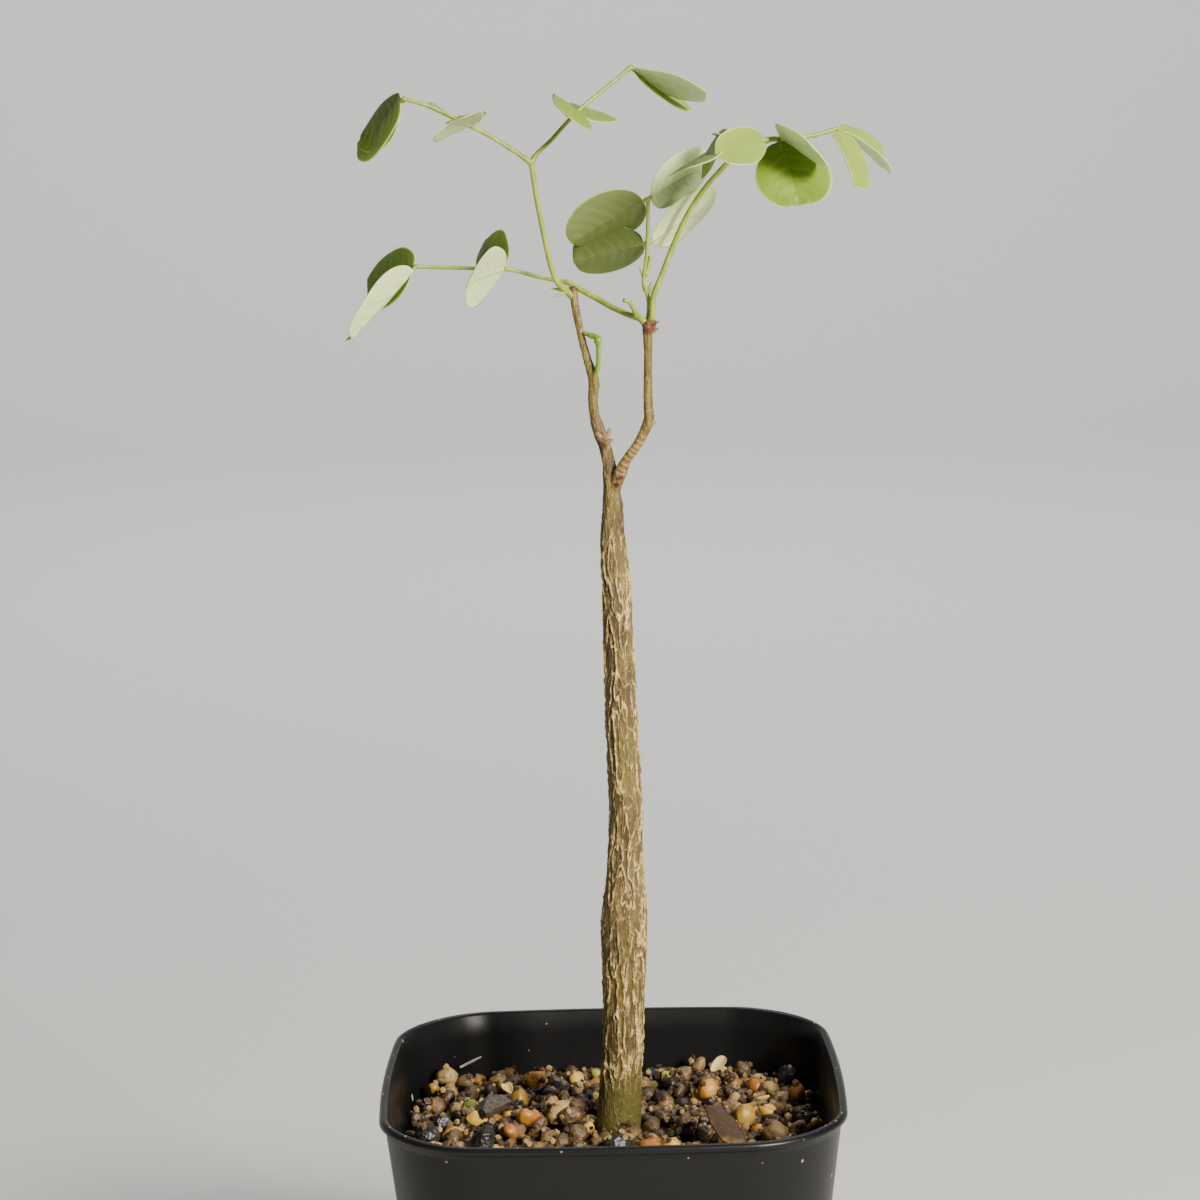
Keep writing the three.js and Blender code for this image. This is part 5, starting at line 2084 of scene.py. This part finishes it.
@dataclass
class Debris:
    """What lies on the soil: a dead leaf's flake, a charcoal chip, dry husks and a twig."""

    flake_at: Point = (17.8, -12.5, 60.9)
    flake_size: Point = (4.6, 8.4, 0.4)
    flake_turn: Point = (35, 0, 34)
    chip_at: Point = (-19.8, 3.0, 60.1)
    chip_size: Point = (5.0, 3.2, 1.4)
    chip_turn: Point = (28, -12, 34)
    husks: tuple[tuple[Point, Point, float], ...] = (
        ((-17.6, 12.8, 59.3), (12, -8, 20), 3.2),
        ((18.2, 23.0, 59.6), (35, 20, -40), 3.6),
        ((24.8, 5.2, 59.2), (-20, 15, 70), 2.6),
    )
    twig: tuple[Station, ...] = (
        (-26.2, 26.8, 58.9, 0.2),
        (-24.4, 28.2, 59.4, 0.24),
        (-22.6, 29.4, 59.9, 0.14),
    )
    seed: int = 11

    @staticmethod
    def _turned(at: Point, turn: Point) -> Matrix:
        """Returns the placing of a thing turned about X, Y and Z in that order.

        Args:
            at: Where the thing lies.
            turn: Its turns about X, Y and Z, in degrees.

        Returns:
            The placing.
        """
        x, y, z = (math.radians(a) for a in turn)
        spin = Matrix.Rotation(z, 4, "Z") @ Matrix.Rotation(y, 4, "Y") @ Matrix.Rotation(x, 4, "X")
        return Matrix.Translation(at) @ spin

    @staticmethod
    def _sheet(bm: BMesh, size: Point, shape: Callable[[float, float], Point], place: Matrix) -> None:
        """Adds a thin closed sheet.

        Args:
            bm: The mesh.
            size: Width, length and thickness.
            shape: Gives the width's share, the length's share and the lift at a place of the grid.
            place: The sheet's placing.
        """
        made = bmesh.ops.create_grid(bm, x_segments=12, y_segments=18, size=1.0)["verts"]
        for vert in made:
            across, forward, lift = shape(vert.co.x, vert.co.y)
            vert.co = Vector((across * size[0] / 2, forward * size[1] / 2, lift))
        faces = list(dict.fromkeys(f for v in made for f in v.link_faces))
        grown = bmesh.ops.solidify(bm, geom=faces, thickness=size[2])["geom"]
        whole = {*made, *(g for g in grown if isinstance(g, BMVert))}
        bmesh.ops.transform(bm, matrix=place, verts=list(whole))

    def build(self) -> None:
        """Makes every scrap."""
        self._flake()
        self._chip()
        self._husks()
        piece = Piece("grey_twig", "dead_leaf", [TWIG])
        Tube(Path(self.twig), 9, 0.3).build(piece.bm)
        piece.finish()

    def _flake(self) -> None:
        """Makes the dead leaf's flake, narrower and curled at its upper end."""
        piece = Piece("dead_leaf_scrap", "dead_leaf", [DEAD_LEAF], "dead_leaf_flake")

        def shape(x: float, y: float) -> Point:
            """Returns the flake's outline and its curl.

            Args:
                x: The place across, from -1 to 1.
                y: The place along, from -1 to 1.

            Returns:
                The point on the flake, before it is scaled.
            """
            wide = 0.98 - 0.34 * smoothstep(0.1, 1.0, y) - 0.3 * smoothstep(-0.55, -1.0, y)
            ragged = 0.05 * wander(4 * y, 2) + 0.03 * wander(11 * y, 5)
            lift = 0.22 * x * x + 0.18 * y * y + 0.08 * wander(2 * x, 2 * y) - 0.15
            return (x * wide + ragged, y * 0.98 - 0.1 * x * abs(y), lift)

        self._sheet(piece.bm, self.flake_size, shape, self._turned(self.flake_at, self.flake_turn))
        piece.finish()

    def _chip(self) -> None:
        """Makes the charcoal chip, a split splinter with flat broken faces."""
        piece = Piece("charcoal_splinter", "charcoal", [CHARRED], "charcoal_chip")
        draw = random.Random(self.seed)
        tone = piece.bm.verts.layers.float.new("tone")
        bmesh.ops.create_cube(piece.bm, size=1.0)
        bmesh.ops.subdivide_edges(piece.bm, edges=piece.bm.edges, cuts=5, use_grid_fill=True)
        for vert in piece.bm.verts:
            vert.co *= 1 + 0.10 * wander(*(vert.co * 4))
            vert[tone] = 0.7
        for _ in range(5):
            normal = Vector([draw.uniform(-1, 1) for _ in range(3)]).normalized()
            Soil.break_off(piece.bm, normal, draw.uniform(0.40, 0.52))
        bmesh.ops.scale(piece.bm, vec=self.chip_size, verts=piece.bm.verts)
        place = self._turned(self.chip_at, self.chip_turn)
        bmesh.ops.transform(piece.bm, matrix=place, verts=piece.bm.verts)
        piece.finish(flat=True)

    def _husks(self) -> None:
        """Makes the curled yellow husks."""
        piece = Piece("dry_husks", "dead_leaf", [HUSK])

        def shape(x: float, y: float) -> Point:
            """Returns a husk's pointed outline and its curl."""
            wide = math.sqrt(max(0.02, 1 - y * y)) * (1 + 0.2 * y)
            return (x * wide, y, 0.55 * x * x * wide + 0.3 * y * y)

        for at, turn, length in self.husks:
            self._sheet(piece.bm, (length * 0.55, length, 0.14), shape, self._turned(at, turn))
        piece.finish()


# The studio


@dataclass
class AreaLamp:
    """A soft square lamp that shines at the plant. Places are in metres."""

    name: str
    at: Point
    size: float
    power: float
    colour: Colour = (1.0, 1.0, 1.0)
    aim: Point = (0.0, 0.0, 0.13)

    def build(self) -> None:
        """Adds the lamp."""
        data = bpy.data.lights.new(self.name, "AREA")
        data.size = self.size
        data.energy = self.power
        data.color = self.colour
        lamp = bpy.data.objects.new(self.name, data)
        lamp.location = self.at
        lamp.rotation_mode = "QUATERNION"
        lamp.rotation_quaternion = (Vector(self.aim) - Vector(self.at)).to_track_quat("-Z", "Y")
        bpy.context.scene.collection.objects.link(lamp)


@dataclass
class Studio:
    """The pale floor that curves up far behind, the lamps and the camera. Sizes are in metres."""

    floor_radius: float = 1.5
    sweep: float = 0.7
    camera_at: Point = (-0.0005, -0.5041, 0.2263)
    pitch: float = 9.24
    roll: float = -1.13
    focal: float = 96.0
    sensor: float = 36.0
    lamps: tuple[AreaLamp, ...] = (
        AreaLamp("key", (0.53, -0.68, 0.54), 0.26, 26.0, (1.0, 0.95, 0.85)),
        AreaLamp("fill", (-0.8, -0.7, 0.5), 0.9, 0.45, (1.0, 0.94, 0.86)),
        AreaLamp("top", (0.1, 0.45, 1.0), 0.8, 1.6),
        AreaLamp("backdrop", (0.0, 0.95, 1.3), 1.0, 26.0, (1.0, 1.0, 1.0), (0.0, 1.9, 0.15)),
    )
    sky: Colour = (0.80, 0.82, 0.85)
    sky_strength: float = 0.13

    def build(self) -> None:
        """Makes the floor, the world, the lamps and the camera."""
        self._floor()
        world = bpy.data.worlds.new("studio")
        world.use_nodes = True
        background = world.node_tree.nodes["Background"]
        background.inputs["Color"].default_value = (*self.sky, 1.0)
        background.inputs["Strength"].default_value = self.sky_strength
        bpy.context.scene.world = world
        for lamp in self.lamps:
            lamp.build()
        self._camera()

    def _floor(self) -> None:
        """Spins the floor's profile: flat in the middle and swept up at its edge."""
        bm = bmesh.new()
        profile = [(0.0, 0.0), (0.2, 0.0), (self.floor_radius, 0.0)]
        for k in range(1, 13):
            angle = math.pi / 2 * k / 12
            along, up = self.sweep * math.sin(angle), self.sweep * (1 - math.cos(angle))
            profile.append((self.floor_radius + along, up))
        verts = [bm.verts.new((x, 0, z)) for x, z in profile]
        edges = [bm.edges.new(pair) for pair in zip(verts, verts[1:])]
        axis = (0, 0, 1)
        bmesh.ops.spin(bm, geom=verts + edges, cent=(0, 0, 0), axis=axis, angle=TAU, steps=96, use_merge=True)
        bmesh.ops.remove_doubles(bm, verts=bm.verts, dist=1e-6)
        bmesh.ops.recalc_face_normals(bm, faces=bm.faces)
        for face in bm.faces:
            face.smooth = True
        mesh = bpy.data.meshes.new("pale_floor")
        bm.to_mesh(mesh)
        bm.free()
        mesh.materials.append(FLOOR.material())
        floor = bpy.data.objects.new("pale_floor", mesh)
        bpy.context.scene.collection.objects.link(floor)

    def _camera(self) -> None:
        """Sets the camera at the photograph's viewing angle."""
        data = bpy.data.cameras.new("camera")
        data.lens = self.focal
        data.sensor_width = self.sensor
        data.clip_start = 0.01
        data.clip_end = 20.0
        camera = bpy.data.objects.new("camera", data)
        tilt = Matrix.Rotation(math.radians(90 - self.pitch), 4, "X")
        level = Matrix.Rotation(math.radians(self.roll), 4, "Z")
        camera.matrix_world = Matrix.Translation(self.camera_at) @ tilt @ level
        bpy.context.scene.collection.objects.link(camera)
        bpy.context.scene.camera = camera


def main() -> None:
    """Builds every sub-assembly in order, then the studio."""
    logging.basicConfig(level=logging.INFO, format="%(message)s")
    pot = Pot(SquareOutline())
    pot.build()
    soil = Soil(pot)
    soil.pour(MARKED_GRANULES)
    soil.build()
    Wood().build()
    for leaf in LEAVES:
        leaf.build()
    HookedShoot().build()
    Debris().build()
    Studio().build()
    LOG.info("granules: %d", len(soil.placed))


if __name__ == "__main__":
    main()
